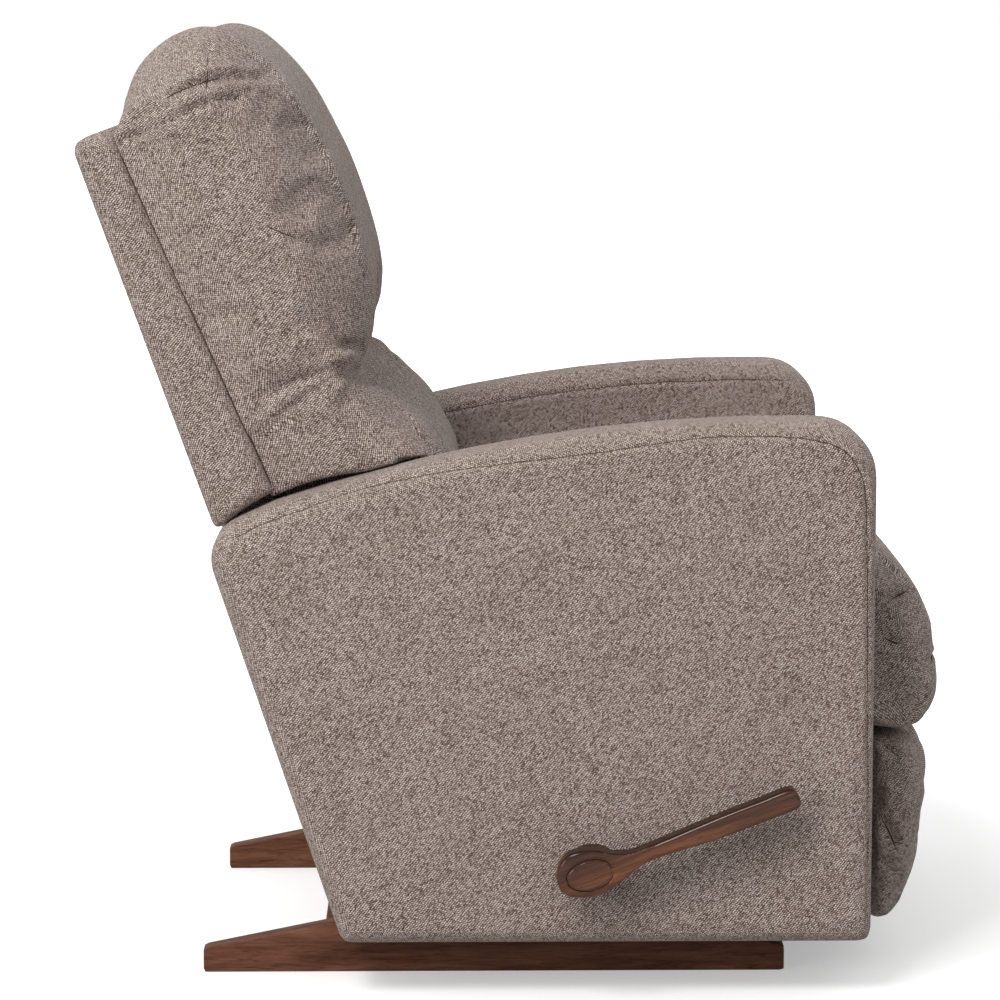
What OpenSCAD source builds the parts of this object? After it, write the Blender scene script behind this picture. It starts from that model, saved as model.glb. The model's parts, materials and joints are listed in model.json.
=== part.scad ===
// Rocking recliner: an upholstered chair that rocks on a wooden rail base, reclines, and
// raises a legrest with a lazy-tong linkage worked by a wooden side lever.
// Millimetres. The front of the chair faces -Y, up is +Z, the sitter's right is -X.
// Side outlines are pairs [y, z]. The origin is on the floor, under the middle of the chair.

/* [Overall] */
// Width over both arms
chair_w = 800; // [780:5:860]
// Thickness of one upholstered arm
arm_w = 115; // [105:1:125]

/* [Base] */
// Distance of the floor rails from the inner faces of the arms
rail_set_in = 15; // [14:0.5:17]
// Thickness of a floor rail
rail_w = 28; // [24:1:30]
// Full height of a floor rail
rail_h = 70; // [64:1:76]
// Height of a floor rail at its tapered ends
rail_end_h = 30; // [24:1:36]
// Front end of the floor rails
rail_front_y = -309; // [-320:1:-300]
// Rear end of the floor rails
rail_rear_y = 353; // [330:1:360]
// Length of the level top on which the rocker block runs
rail_flat = 300; // [280:5:340]
// Thickness of the base cross boards
cross_t = 22; // [18:1:28]

/* [Rocking] */
// Radius of the rocker blocks about the rocking axis
rocker_r = 240; // [220:1:260]
// Height of a rocker block from its tread to the chassis rail
rocker_h = 60; // [56:1:64]
// Place of the rocking axis, front to back
rock_y = 20; // [10:1:30]
// Mean radius of a rocker spring
spring_r = 17; // [14:0.5:20]
// Wire thickness of a rocker spring
spring_wire = 5; // [4:0.25:5.5]
// Turns of a rocker spring
spring_turns = 7; // [5:1:7]
// Distance between the two springs of a side
spring_gap = 70; // [60:1:90]
// Height of the lower spring shelf
spring_floor_z = 53; // [48:1:56]

/* [Chassis] */
// Height of the wooden chassis rails
chassis_rail_h = 70; // [64:1:80]
// Thickness of the wooden chassis rails
chassis_rail_w = 28; // [24:1:28]
// Thickness of the steel side plates
plate_t = 3; // [2:0.25:3]
// Thickness of the steel links
link_t = 3; // [2.5:0.25:3]
// Gap between two links that pass each other
layer_gap = 0.5; // [0.3:0.05:0.6]
// Thickness of steel shelves and small brackets
shelf_t = 3; // [2:0.25:4]

/* [Arms] */
// Top of the arms at their crest
arm_top_z = 647; // [600:1:680]
// Bottom of the arms
arm_bottom_z = 62; // [58:1:70]
// Front face of the arms
arm_front_y = -399; // [-410:1:-390]
// Rear end of the arms at the bottom
arm_rear_y = 190; // [170:1:200]
// Backward slope of the rear edge of the arms, from upright
arm_rear_lean = 18.5; // [14:0.5:22]
// Place of the highest point of the arms
arm_crest_y = -320; // [-340:1:-280]
// Radius of the long curve along the top of the arms
arm_top_r = 1830; // [1600:10:2200]
// Rounding of the arm's upper front corner
arm_front_r = 50; // [30:1:60]
// Rounding along the long edges of the arms
arm_edge_r = 24; // [15:1:30]
// Thickness of foam and fabric over the arm frame
cover_t = 16; // [12:1:22]
// Depth of the wooden arm frame's members
frame_w = 45; // [30:1:60]

/* [Seat] */
// Top of the seat cushion at its sides
seat_top_z = 492; // [480:1:500]
// Front of the seat cushion at its fullest point
seat_front_y = -480; // [-490:1:-470]
// Height of the seat rails
seat_rail_h = 50; // [40:1:56]
// Underside of the seat rails
seat_rail_z = 285; // [280:1:290]
// Place of the seat's front pivot
seat_pivot_y = -300; // [-310:1:-280]

/* [Back] */
// Distance of the back's sides from the outer faces of the arms
back_set_in = 50; // [40:1:70]
// Backward slope of the back's rear face, from upright
back_lean = 19.8; // [18:0.2:21]
// Length of the back's rear face above the arms
back_len = 443; // [430:1:460]
// Thickness of the side band at the top
band_top = 47; // [44:1:52]
// Thickness of the side band at the bottom
band_bottom = 76; // [70:1:80]
// Place of the recline pivot, front to back
recline_y = 150; // [145:1:155]
// Height of the recline pivot
recline_z = 330; // [326:1:334]
// Gap between the back's wide part and the arms
sweep_gap = 5; // [4:0.5:10]

/* [Lever] */
// Place of the lever's axis, front to back
lever_y = -79; // [-84:1:-74]
// Height of the lever's axis
lever_z = 151; // [149:1:154]
// Length of the lever from its axis to its tip
lever_len = 242; // [200:1:260]
// Slope of the lever at rest
lever_rise = 20.4; // [10:0.2:30]
// How far the lever stands out from the arm
lever_out = 52; // [44:1:60]
// Radius of the drive rod
rod_r = 7; // [6:0.25:8]

/* [Legrest linkage] */
// Half the length of a lazy-tong link
tong_half = 90; // [86:1:92]
// Width of the links
link_w = 20; // [18:0.5:22]
// Place of the lift arm's pivot, front to back
tong_y = -335; // [-338:1:-330]
// Height of the lift arm's pivot
tong_z = 267; // [264:1:270]
// Radius of the cranks that drive the lift arms
crank_r = 45; // [40:1:48]
// Radius of the link pins
pin_r = 5; // [4:0.25:6]
// Radial running clearance of pins in their bores
run_gap = 0.06; // [0.02:0.01:0.09]
// Thickness of the legrest board
board_t = 12; // [10:1:15]
// Thickness of the legrest cushion
legrest_t = 48; // [40:1:54]

/* [Hidden] */
$fn = 48;

// Points of a rounded corner
corner_steps = 5;
// Facets of a link's round end
strap_steps = 9;
// Samples along one stretch of a cushion's outline
spline_steps = 2;
// Small gap between soft or sliding neighbours
seat_gap = 0.3;

// Colours
fabric = [0.45, 0.40, 0.36];
walnut = [0.16, 0.11, 0.09];
poplar = [0.78, 0.66, 0.48];
steel = [0.25, 0.25, 0.27];
lever_wood = [0.36, 0.17, 0.08];

// Half the lever's overhang, which keeps the whole chair centred on the origin
stand_x = lever_out / 2;

// Layers of the mechanism, counted inwards from the inner face of the right arm
arm_in = -(chair_w / 2 - arm_w);
arm_out = -chair_w / 2;
plate_x = [arm_in, arm_in + plate_t];
layer_1 = [plate_x[1] + layer_gap, plate_x[1] + layer_gap + link_t];
layer_2 = [layer_1[1] + layer_gap, layer_1[1] + layer_gap + link_t];
layer_3 = [layer_2[1] + layer_gap, layer_2[1] + layer_gap + link_t];

rail_x = [arm_in + rail_set_in, arm_in + rail_set_in + rail_w];
chassis_x = [rail_x[0], rail_x[0] + chassis_rail_w];
bracket_x = [chassis_x[1], chassis_x[1] + shelf_t];
side_gap = 1;
seat_x = [chassis_x[0], bracket_x[0] - side_gap];

rock_z = rail_h + rocker_r;
chassis_z = rail_h + rocker_h;
chassis_y = [-285, 172];

// Pivots at rest, with angles measured from the forward direction upwards
function ahead(angle) = [-cos(angle), sin(angle)];
lift_angle = -90;
cross_angle = 70;
tong_travel = 90;
cross_travel = -30;
crank_angle = 66;
pivot_a = [tong_y, tong_z];
pivot_m1 = pivot_a + tong_half * ahead(lift_angle);
pivot_b = pivot_m1 - tong_half * ahead(cross_angle);
pivot_d = pivot_m1 + tong_half * ahead(cross_angle);
pivot_e = pivot_a + 2 * tong_half * ahead(lift_angle);
pivot_m2 = pivot_d + tong_half * ahead(lift_angle);
pivot_g = pivot_d + 2 * tong_half * ahead(lift_angle);
pivot_f = pivot_e + 2 * tong_half * ahead(cross_angle);
pivot_q = pivot_f + tong_half * ahead(lift_angle);
lever_axis = [lever_y, lever_z];
crank_tip = lever_axis + crank_r * ahead(crank_angle);
lift_tip = pivot_a + crank_r * ahead(crank_angle);
recline_axis = [recline_y, recline_z];
seat_pivot = [seat_pivot_y, seat_rail_z + seat_rail_h / 2];
link_swing = 16;
link_reach = 50;
pivot_s = recline_axis + link_reach * [cos(link_swing), sin(link_swing)];
pivot_t = [pivot_s[0], seat_rail_z + seat_rail_h * 0.3];

// Unit vector of v
function unit(v) = v / norm(v);

// Arc of radius r in the corner at c, between the neighbours p and q
function corner_arc(p, c, q, r) =
    let (a = unit(p - c), b = unit(q - c), half = acos(a * b) / 2,
         m = c + unit(a + b) * r / sin(half), s = c + a * r / tan(half), e = c + b * r / tan(half),
         a0 = atan2(s[1] - m[1], s[0] - m[0]), a1 = atan2(e[1] - m[1], e[0] - m[0]),
         sweep = (a1 - a0 + 540) % 360 - 180)
    [for (i = [0:corner_steps]) m + r * [cos(a0 + sweep * i / corner_steps),
                                         sin(a0 + sweep * i / corner_steps)]];

// Closed outline with every corner rounded by its own radius
function rounded(pts, radii) =
    let (n = len(pts))
    [for (i = [0:n - 1]) each corner_arc(pts[(i + n - 1) % n], pts[i], pts[(i + 1) % n], radii[i])];

function same(n, r) = [for (i = [0:n - 1]) r];

// Smooth closed curve through a few points
function smooth(pts) =
    let (n = len(pts))
    [for (i = [0:n - 1]) let (p0 = pts[(i + n - 1) % n], p1 = pts[i], p2 = pts[(i + 1) % n],
                             p3 = pts[(i + 2) % n])
        for (k = [0:spline_steps - 1]) let (t = k / spline_steps)
            0.5 * (2 * p1 + (p2 - p0) * t + (2 * p0 - 5 * p1 + 4 * p2 - p3) * t * t
                   + (3 * p1 - p0 - 3 * p2 + p3) * t * t * t)];

function middle(pts) = [for (k = [0:len(pts[0]) - 1]) [for (p = pts) p[k]] * same(len(pts), 1)] / len(pts);

// Extrudes a side outline from x0 to x1
module prism(span) {
    translate([span[0], 0, 0]) rotate([90, 0, 90]) linear_extrude(span[1] - span[0]) children();
}

// Round bar along X at a side point
module bar(at, r, span) {
    translate([span[0], at[0], at[1]]) rotate([0, 90, 0]) cylinder(r = r, h = span[1] - span[0]);
}

module mirrored() {
    mirror([1, 0, 0]) children();
}

module both_sides() {
    children();
    mirrored() children();
}

// Flat steel bar with round ends between two side points
module strap(p, q, w, span) {
    d = q - p;
    turn = atan2(d[1], d[0]);
    prism(span) polygon([for (end = [[q, -90], [p, 90]]) for (i = [0:strap_steps])
        let (a = turn + end[1] + 180 * i / strap_steps) end[0] + w / 2 * [cos(a), sin(a)]]);
}

// Pin that reaches a little past both ends of a bore
function through(span) = [span[0] - 1, span[1] + 1];

module bore(at, r, span) {
    bar(at, r + run_gap, through(span));
}

// Closed skin over rings of equal length, the first ring at the lowest x. The end faces fan out
// from hub, a side point that sees the whole of an end ring, or else from the ring's middle.
module loft(rings, hub) {
    n = len(rings[0]);
    m = len(rings);
    ends = [for (r = [rings[0], rings[m - 1]]) is_undef(hub) ? middle(r) : [r[0][0], hub[0], hub[1]]];
    pts = [each [for (r = rings) each r], each ends];
    sides = [for (k = [0:m - 2]) for (i = [0:n - 1]) let (a = k * n + i, b = k * n + (i + 1) % n)
        each [[a, b + n, b], [a, a + n, b + n]]];
    low = [for (i = [0:n - 1]) [m * n, i, (i + 1) % n]];
    top = [for (i = [0:n - 1]) [m * n + 1, (m - 1) * n + (i + 1) % n, (m - 1) * n + i]];
    polyhedron(points = pts, faces = concat(sides, low, top));
}

// Ring of a side outline at a place along x
function ring(x, outline) = [for (p = outline) [x, p[0], p[1]]];

// Places across a cushion, as shares of its half width, closer together near the sides
places = [0.4, 0.7, 0.88, 0.97, 1];
across = concat([for (i = [4:-1:0]) -places[i]], [0], places);

// Cushion: its outline swells towards the middle of the width and draws in at the sides.
// The function hold(x, p) keeps a point off what the cushion rests on.
module cushion(outline, half_w, draw, crown, hold, stations = across, hub = undef) {
    curve = smooth(outline);
    c = middle(curve);
    loft([for (s = stations)
        let (side = 1 - sqrt(1 - pow(min(abs(s), 1), 8)), grow = crown * (1 - s * s) - draw * side)
        ring(s * half_w, [for (p = curve) hold(s * half_w, p + unit(p - c) * grow)])], hub);
}

// Side outline of an arm, moved inwards by inset
function arm_rear(z, inset) =
    arm_rear_y + (z - arm_bottom_z) * tan(arm_rear_lean) - inset / cos(arm_rear_lean);
function arm_top(y, inset) = arm_top_z - inset - pow(y - arm_crest_y, 2) / (2 * arm_top_r);
arm_corner_z = 518;
arm_rear_r = 40;
arm_foot_r = 12;
function arm_outline(inset) =
    let (front = arm_front_y + inset, bottom = arm_bottom_z + inset, tail_z = arm_corner_z - inset,
         tail = [arm_rear(tail_z, inset), tail_z], head = [front, arm_top(front, inset)],
         shoulder_y = tail[0] - 75, brow_y = front + arm_front_r + 25,
         foot = max(arm_foot_r - inset, 2),
         crown = [for (i = [0:8]) let (y = shoulder_y + (brow_y - shoulder_y) * i / 8)
             [y, arm_top(y, inset)]])
    concat(corner_arc(head, [front, bottom], [tail[0], bottom], foot),
           corner_arc([front, bottom], [arm_rear(bottom, inset), bottom], tail, foot),
           corner_arc([arm_rear(bottom, inset), bottom], tail, crown[0], max(arm_rear_r - inset, 8)),
           crown,
           corner_arc(crown[8], head, [front, bottom], max(arm_front_r - inset, 12)));

module arm_body() {
    steps = [0, 30, 60, 90];
    outer = [for (a = steps) [arm_out + arm_edge_r * (1 - cos(a)), arm_edge_r * (1 - sin(a))]];
    inner = [for (i = [3:-1:0]) [arm_in - (outer[i][0] - arm_out), outer[i][1]]];
    loft([for (s = concat(outer, inner)) ring(s[0], arm_outline(s[1]))]);
}

// The right arm alone lets the drive rod through to the lever
module arm_cover(has_lever) {
    color(fabric) difference() {
        arm_body();
        prism([arm_out + cover_t, arm_in - cover_t]) polygon(arm_outline(cover_t));
        if (has_lever) bar(lever_axis, rod_r + 2, [arm_out - 1, arm_in + 1]);
    }
}

module arm_frame() {
    span = [arm_out + cover_t, arm_in - cover_t];
    color(poplar) difference() {
        prism(span) polygon(arm_outline(cover_t));
        prism(through(span)) polygon(arm_outline(cover_t + frame_w));
    }
}

rear_panel_t = 8;
rear_panel_z = [136, 300];
module rear_panel() {
    set_in = arm_edge_r + 2;
    color(fabric) prism([arm_in, -arm_in])
        polygon([for (z = rear_panel_z) [arm_rear(z, set_in), z],
                 for (i = [1:-1:0]) [arm_rear(rear_panel_z[i], set_in + rear_panel_t), rear_panel_z[i]]]);
}

// Floor rail with a level tread in the middle and tapered ends
module base_rail() {
    flat = [rock_y - rail_flat / 2, rock_y + rail_flat / 2];
    outline = [[rail_front_y, 0], [rail_rear_y, 0], [rail_rear_y, rail_end_h], [flat[1], rail_h],
               [flat[0], rail_h], [rail_front_y, rail_end_h]];
    color(walnut) prism(rail_x) polygon(rounded(outline, [3, 3, 8, 60, 60, 8]));
}

base_cross_h = 36;
base_cross_z = 8;
module base_cross(y) {
    color(walnut) translate([rail_x[1], y - cross_t / 2, base_cross_z])
        cube([-2 * rail_x[1], cross_t, base_cross_h]);
}

spring_x = rail_x[1] + spring_r + spring_wire + 6;
shelf_w = 2 * spring_r + spring_wire + 14;
shelf_y = [rock_y - spring_gap / 2 - spring_r - 12, rock_y + spring_gap / 2 + spring_r + 12];
spring_top_z = chassis_z + 3;

// Steel shelf with a flange against the rail that carries it
module shelf(x, z, flange) {
    translate([x, shelf_y[0], z - shelf_t]) cube([shelf_w, shelf_y[1] - shelf_y[0], shelf_t]);
    translate([x, shelf_y[0], min(z - shelf_t, z - shelf_t + flange)])
        cube([shelf_t, shelf_y[1] - shelf_y[0], abs(flange) + shelf_t]);
}

module spring_seats() {
    color(steel) both_sides() shelf(rail_x[1], spring_floor_z, -24);
}

module spring_caps() {
    color(steel) both_sides() shelf(chassis_x[1], spring_top_z + shelf_t, 24);
}

// Coil spring: one unbroken wire of spring_turns curls, with rings of six points
curl_rings = 8;
wire_sides = 6;
function coil_at(t, low, high) =
    [spring_r * cos(360 * t), spring_r * sin(360 * t), low + (high - low) * t / spring_turns];
module coil(low, high) {
    count = spring_turns * curl_rings;
    rise = (high - low) / spring_turns;
    slope = atan2(rise, 2 * PI * spring_r);
    // A six-sided wire is drawn a little full so that its section keeps the round wire's area
    wire = spring_wire / 2;
    rings = [for (k = [0:count]) let (t = k / curl_rings, c = coil_at(t, low, high), a = 360 * t)
        [for (j = [0:wire_sides - 1]) let (b = -360 * j / wire_sides, side = wire * cos(b), up = wire * sin(b))
            c + side * [cos(a), sin(a), 0] + up * [sin(a) * sin(slope), -cos(a) * sin(slope), cos(slope)]]];
    loft(rings);
}
// Least gap of a coil to itself, measured between the centres of one turn and the next
turn_gap = min([for (k = [0:curl_rings]) for (j = [-2:2])
    norm(coil_at(1 + (k + j) / curl_rings, spring_floor_z, spring_top_z)
         - coil_at(k / curl_rings, spring_floor_z, spring_top_z))]) - spring_wire;
echo(least_spring_gap = turn_gap);

module rocker_springs() {
    end = spring_wire / 2 + seat_gap;
    color(steel) for (side = [-1, 1])
        translate([spring_x, rock_y + side * spring_gap / 2, 0]) coil(spring_floor_z + end, spring_top_z - end);
}

// Rocker block: a slice of a drum about the rocking axis, with its tread on the floor rail
module rocker_cam() {
    color(poplar) difference() {
        bar([rock_y, rock_z], rocker_r - seat_gap, rail_x, $fn = 96);
        translate([rail_x[0] - 1, rock_y - 2 * rocker_r, chassis_z])
            cube([rail_w + 2, 4 * rocker_r, 2 * rocker_r]);
    }
}

module chassis_rail() {
    outline = [[chassis_y[0], chassis_z], [chassis_y[1], chassis_z],
               [chassis_y[1], chassis_z + chassis_rail_h], [chassis_y[0], chassis_z + chassis_rail_h]];
    color(poplar) difference() {
        prism(chassis_x) polygon(rounded(outline, same(4, 6)));
        bar(lever_axis, rod_r + 2, through(chassis_x));
    }
}

module chassis_cross(y) {
    color(poplar) translate([chassis_x[1], y - cross_t / 2, chassis_z + 4])
        cube([-2 * chassis_x[1], cross_t, chassis_rail_h - 8]);
}

// Curved slot that guides the lower stud of the cross link
slot_r = pin_r + 0.3;
slot_steps = 10;
function slot_at(t) = pivot_a + tong_half * (ahead(lift_angle + tong_travel * t)
                                             - ahead(cross_angle + cross_travel * t));
function slot_turn(t) = let (d = slot_at(t + 0.01) - slot_at(t - 0.01)) atan2(d[1], d[0]);
function slot_side(t, angle) = slot_at(t) + slot_r * [cos(slot_turn(t) + angle), sin(slot_turn(t) + angle)];
slot_outline = concat([for (k = [0:slot_steps]) slot_side(k / slot_steps, 90)],
                      [for (i = [1:strap_steps - 1]) slot_side(1, 90 - 180 * i / strap_steps)],
                      [for (k = [slot_steps:-1:0]) slot_side(k / slot_steps, -90)],
                      [for (i = [1:strap_steps - 1]) slot_side(0, -90 - 180 * i / strap_steps)]);

// Steel side plate that carries every pivot of its side
spacer_places = [[-230, chassis_z + 35], [0, chassis_z + 50], [130, chassis_z + 50]];
spacer_r = 9;
module side_plate() {
    outline = [[tong_y - 39, 200], [tong_y - 39, tong_z + 24], [tong_y + 34, tong_z + 24], [-120, 216],
               [60, 252], [recline_y - 24, recline_z + 20], [recline_y + 20, recline_z + 20],
               [recline_y + 20, recline_z - 20], [112, 214], [70, 132], [-268, 74], [-322, 74]];
    color(steel) {
        difference() {
            prism(plate_x) polygon(rounded(outline, [20, 18, 18, 30, 30, 16, 16, 14, 30, 18, 14, 14]));
            prism(through(plate_x)) polygon(slot_outline);
            bore(lever_axis, rod_r, plate_x);
            for (p = spacer_places) bar(p, pin_r, through(plate_x));
            bar([-175, 160], 26, through(plate_x));
            bar([50, 195], 20, through(plate_x));
        }
        bar(pivot_a, pin_r + 1, [plate_x[0], layer_1[1]]);
        bar(recline_axis, pin_r + 3, [plate_x[0], layer_1[1]]);
    }
}

module plate_spacers() {
    color(steel) both_sides() for (p = spacer_places) {
        bar(p, spacer_r, [plate_x[1], chassis_x[0]]);
        bar(p, pin_r, [plate_x[0] + 0.5, plate_x[1] + 1]);
    }
}

module seat_pivot_brackets() {
    color(steel) both_sides() {
        prism(bracket_x) polygon(rounded([[seat_pivot[0] - 14, seat_pivot[1] + 14],
            [seat_pivot[0] - 14, seat_pivot[1] - 20], [chassis_y[0] + 6, chassis_z + 20],
            [chassis_y[0] + 60, chassis_z + 20], [chassis_y[0] + 60, chassis_z + 60],
            [seat_pivot[0] + 14, seat_pivot[1] - 20], [seat_pivot[0] + 14, seat_pivot[1] + 14]],
            [10, 20, 6, 6, 10, 20, 10]));
        bar(seat_pivot, pin_r + 1, [seat_x[0] + 2, bracket_x[1]]);
    }
}

// Seat frame
seat_rail_y = [-368, 216];
module seat_rail() {
    z = [seat_rail_z, seat_rail_z + seat_rail_h];
    color(poplar) difference() {
        prism(seat_x) polygon(rounded([[seat_rail_y[0], z[0]], [seat_rail_y[1], z[0]],
            [seat_rail_y[1], z[1] - 14], [90, z[1]], [seat_rail_y[0], z[1]]], [8, 8, 8, 20, 8]));
        bore(seat_pivot, pin_r + 1, seat_x);
        bar(pivot_t, pin_r + 1.5, through(seat_x));
    }
}

seat_cross_h = seat_rail_h - 8;
module seat_cross(y) {
    color(poplar) translate([seat_x[1], y - cross_t / 2, seat_rail_z + 4])
        cube([-2 * seat_x[1], cross_t, seat_cross_h]);
}
seat_cross_y = [-345, 60];

// Sinuous seat springs, drawn as waving flat wires between the cross rails
seat_spring_count = 5;
module seat_springs() {
    z = seat_rail_z + 4 + seat_cross_h;
    reach = [seat_cross_y[0] - cross_t / 2, seat_cross_y[1] + cross_t / 2];
    waves = 7;
    pitch = (reach[1] - reach[0]) / (2 * waves);
    wire = 3;
    sway = 20;
    spring_field = -seat_x[1] - 70;
    color(steel) for (i = [0:seat_spring_count - 1]) {
        x = spring_field * (2 * i / (seat_spring_count - 1) - 1);
        for (k = [0:2 * waves]) translate([x - sway, reach[0] + min(k * pitch, 2 * waves * pitch - wire), z])
            cube([2 * sway, wire, wire]);
        for (k = [0:2 * waves - 1]) translate([x + (k % 2 == 0 ? sway - wire : -sway), reach[0] + k * pitch, z])
            cube([wire, pitch + wire / 2, wire]);
    }
}

cushion_half = -arm_in - 5;
module seat_cushion() {
    bottom = seat_rail_z + seat_rail_h + seat_gap;
    nose = seat_rail_y[0] - 18;
    // A point that would lie in the rails goes to the nearer of their front and their top
    function hold(p) = p[0] < nose || p[1] > bottom ? p
        : p[0] - nose < bottom - p[1] ? [nose, p[1]] : [p[0], bottom];
    outline = [[40, bottom], [52, 400], [46, seat_top_z - 32], [10, seat_top_z - 2], [-90, seat_top_z + 1],
               [-200, seat_top_z + 2], [-320, seat_top_z + 3], [-385, seat_top_z - 2],
               [seat_front_y + 44, seat_top_z - 30], [seat_front_y + 10, seat_top_z - 80],
               [seat_front_y, seat_top_z - 130], [seat_front_y + 6, seat_top_z - 180],
               [seat_front_y + 26, seat_top_z - 204], [-414, seat_top_z - 207], [nose - 4, seat_top_z - 186],
               [nose + 4, bottom], [-250, bottom], [-100, bottom]];
    color(fabric) cushion(outline, cushion_half, 22, 6, function (x, p) hold(p),
        hub = [nose - 26, bottom + 75]);
}

// Back, laid out along its rear face: s runs up the face and t runs forwards from it
back_foot = [330, 523];
function on_back(s, t) = back_foot + s * [sin(back_lean), cos(back_lean)]
                                   + t * [-cos(back_lean), sin(back_lean)];
sweep_r = 258 + sweep_gap;
post_x = [layer_1[1], layer_1[1] + 24];
post_set_in = 8;
back_w = chair_w - 2 * back_set_in;

module back_post() {
    outline = [on_back(-213, 84), on_back(-60, 22), on_back(0, post_set_in),
               on_back(back_len - 20, post_set_in),
               on_back(back_len - 20, band_top - 6), on_back(0, band_bottom - 12),
               on_back(-120, 96), on_back(-205, 124)];
    color(poplar) prism(post_x) polygon(rounded(outline, [6, 40, 40, 4, 4, 60, 60, 10]));
}

module back_rail(s, h, t) {
    color(poplar) prism([post_x[1], -post_x[1]]) polygon([on_back(s, t[0]), on_back(s + h, t[0]),
        on_back(s + h, t[1]), on_back(s, t[1])]);
}

top_rail_drop = 70;
webbing_count = 5;
webbing_w = 50;
module back_webbing() {
    first = 30;
    pitch = (back_len - top_rail_drop - first) / webbing_count;
    color(fabric) for (i = [0:webbing_count - 1]) let (s = first + pitch * i, t = band_bottom - 16 - 5 * i)
        prism([post_x[1], -post_x[1]]) polygon([on_back(s, t - 2), on_back(s + webbing_w, t - 2),
            on_back(s + webbing_w, t), on_back(s, t)]);
}

module back_bracket() {
    outline = [recline_axis + [-20, 2], recline_axis + [-6, -18], pivot_s + [2, -14], pivot_s + [14, 0],
               pivot_s + [4, 14], on_back(-90, 52), on_back(-84, 86)];
    color(steel) difference() {
        prism(layer_1) polygon(rounded(outline, [12, 12, 8, 8, 10, 8, 8]));
        bore(recline_axis, pin_r + 3, layer_1);
        bore(pivot_s, pin_r, layer_1);
    }
}

// Side band of the back: its lower edge is an arc about the recline pivot, clear of the arm,
// that ends heel_turn before the rounded heel
heel_turn = 3;
function band_outline(inset) =
    let (top_rear = on_back(back_len - inset, inset),
         top_front = on_back(back_len - 8 - inset, band_top - inset),
         r = sweep_r + inset,
         from = acos((264 + inset - recline_y) / r),
         to = acos(((recline_axis - back_foot) * [-cos(back_lean), sin(back_lean)] - inset) / r) - back_lean,
         heel = recline_axis + r * [cos(to), sin(to)],
         arc = [for (i = [0:6]) let (a = from + (to + heel_turn - from) * i / 6)
             recline_axis + r * [cos(a), sin(a)]])
    concat(arc, corner_arc(arc[6], heel, top_rear, 6),
           corner_arc(heel, top_rear, top_front, max(14 - inset, 2)),
           corner_arc(top_rear, top_front, arc[0], max(10 - inset, 2)));

module back_wing() {
    out = -back_w / 2;
    edge = 12;
    loft([for (s = [[0, 1], [0.3, 0.45], [1, 0]]) ring(out + edge * s[0], band_outline(edge * s[1])),
          ring(post_x[0] - seat_gap, band_outline(0))], on_back(back_len * 0.2, band_bottom / 3));
}

module back_cover() {
    low = -185;
    thick = post_set_in - seat_gap;
    edge = (post_x[0] + post_x[1]) / 2;
    color(fabric) prism([edge, -edge]) polygon([on_back(low, 0), on_back(back_len, 0),
        on_back(back_len, thick), on_back(low, thick)]);
}

// Where the two cushions of the back meet at the front, and how the line between them falls
notch = [160, 704];
valley_slope = 0.22;

// Thickness of the side band at a place s up the back, and a point held in front of its seam
function band_at(s) = band_bottom + (band_top - band_bottom) * s / back_len;
function before_seam(p) =
    let (d = p - back_foot, s = d[0] * sin(back_lean) + d[1] * cos(back_lean),
         t = -d[0] * cos(back_lean) + d[1] * sin(back_lean))
    s > back_len + 6 ? p : on_back(s, max(t, band_at(s) + 2 * seat_gap));

// Valley between the back cushion and the lumbar cushion
function valley(y) = notch[1] - max(y - notch[0], 0) * valley_slope;

module back_cushion() {
    outline = [for (p = [[0.30, 80], [0.51, 62], [0.76, 54], [0.98, 39], [1.06, 55], [1.12, 78], [1.16, 103],
        [1.18, 134], [1.17, 166], [1.14, 195], [1.08, 221], [0.98, 242], [0.86, 256],
        [0.72, 263], [0.58, 263], [0.46, 256], [0.37, 246], [0.30, 230], [0.27, 207],
        [0.29, 141]]) on_back(p[0] * back_len, p[1])];
    function above(p) = [p[0], max(p[1], valley(p[0]) + seat_gap)];
    color(fabric) cushion(outline, back_w / 2 - 4, 55, 5, function (x, p) above(before_seam(p)));
}

module lumbar_cushion() {
    half = back_w / 2 - 18;
    outline = [for (p = [[0.29, 86], [0.27, 139], [0.26, 191], [0.24, 227], [0.18, 252], [0.10, 265],
        [0.01, 271], [-0.09, 270], [-0.19, 258], [-0.25, 242], [-0.31, 225], [-0.35, 202],
        [-0.34, 158], [-0.29, 113], [-0.20, 93], [-0.08, 84], [0.12, 84]]) on_back(p[0] * back_len, p[1])];
    inner = -arm_in - 4;
    function below(p) = [p[0], min(p[1], valley(p[0]) - seat_gap)];
    // Outside the arms' inner faces the cushion stays above the arms and clear of their sweep:
    // a point that isn't moves towards the core in short steps
    core = [170, 640];
    lift_step = 2;
    function is_clear(p) = p[1] > arm_top(p[0], 0) + sweep_gap && norm(p - recline_axis) > sweep_r;
    function lifted(p) = p[1] > core[1] || is_clear(p) ? p : lifted(p + lift_step * unit(core - p));
    right = [0.35, 0.6, (inner - 20) / half, (inner - 3) / half, (inner + 2) / half, (inner + 26) / half, 0.97, 1];
    stations = concat([for (i = [7:-1:0]) -right[i]], [0], right);
    color(fabric) cushion(outline, half, 24, 5,
        function (x, p) abs(x) > inner ? lifted(before_seam(below(p))) : before_seam(below(p)),
        stations, core);
}

module seat_links() {
    color(steel) both_sides() {
        strap(pivot_s, pivot_t, link_w, layer_2);
        bar(pivot_s, pin_r, [layer_1[0], layer_2[1]]);
        bar(pivot_t, pin_r, [layer_2[0], seat_x[0] + 12]);
    }
}

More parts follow.
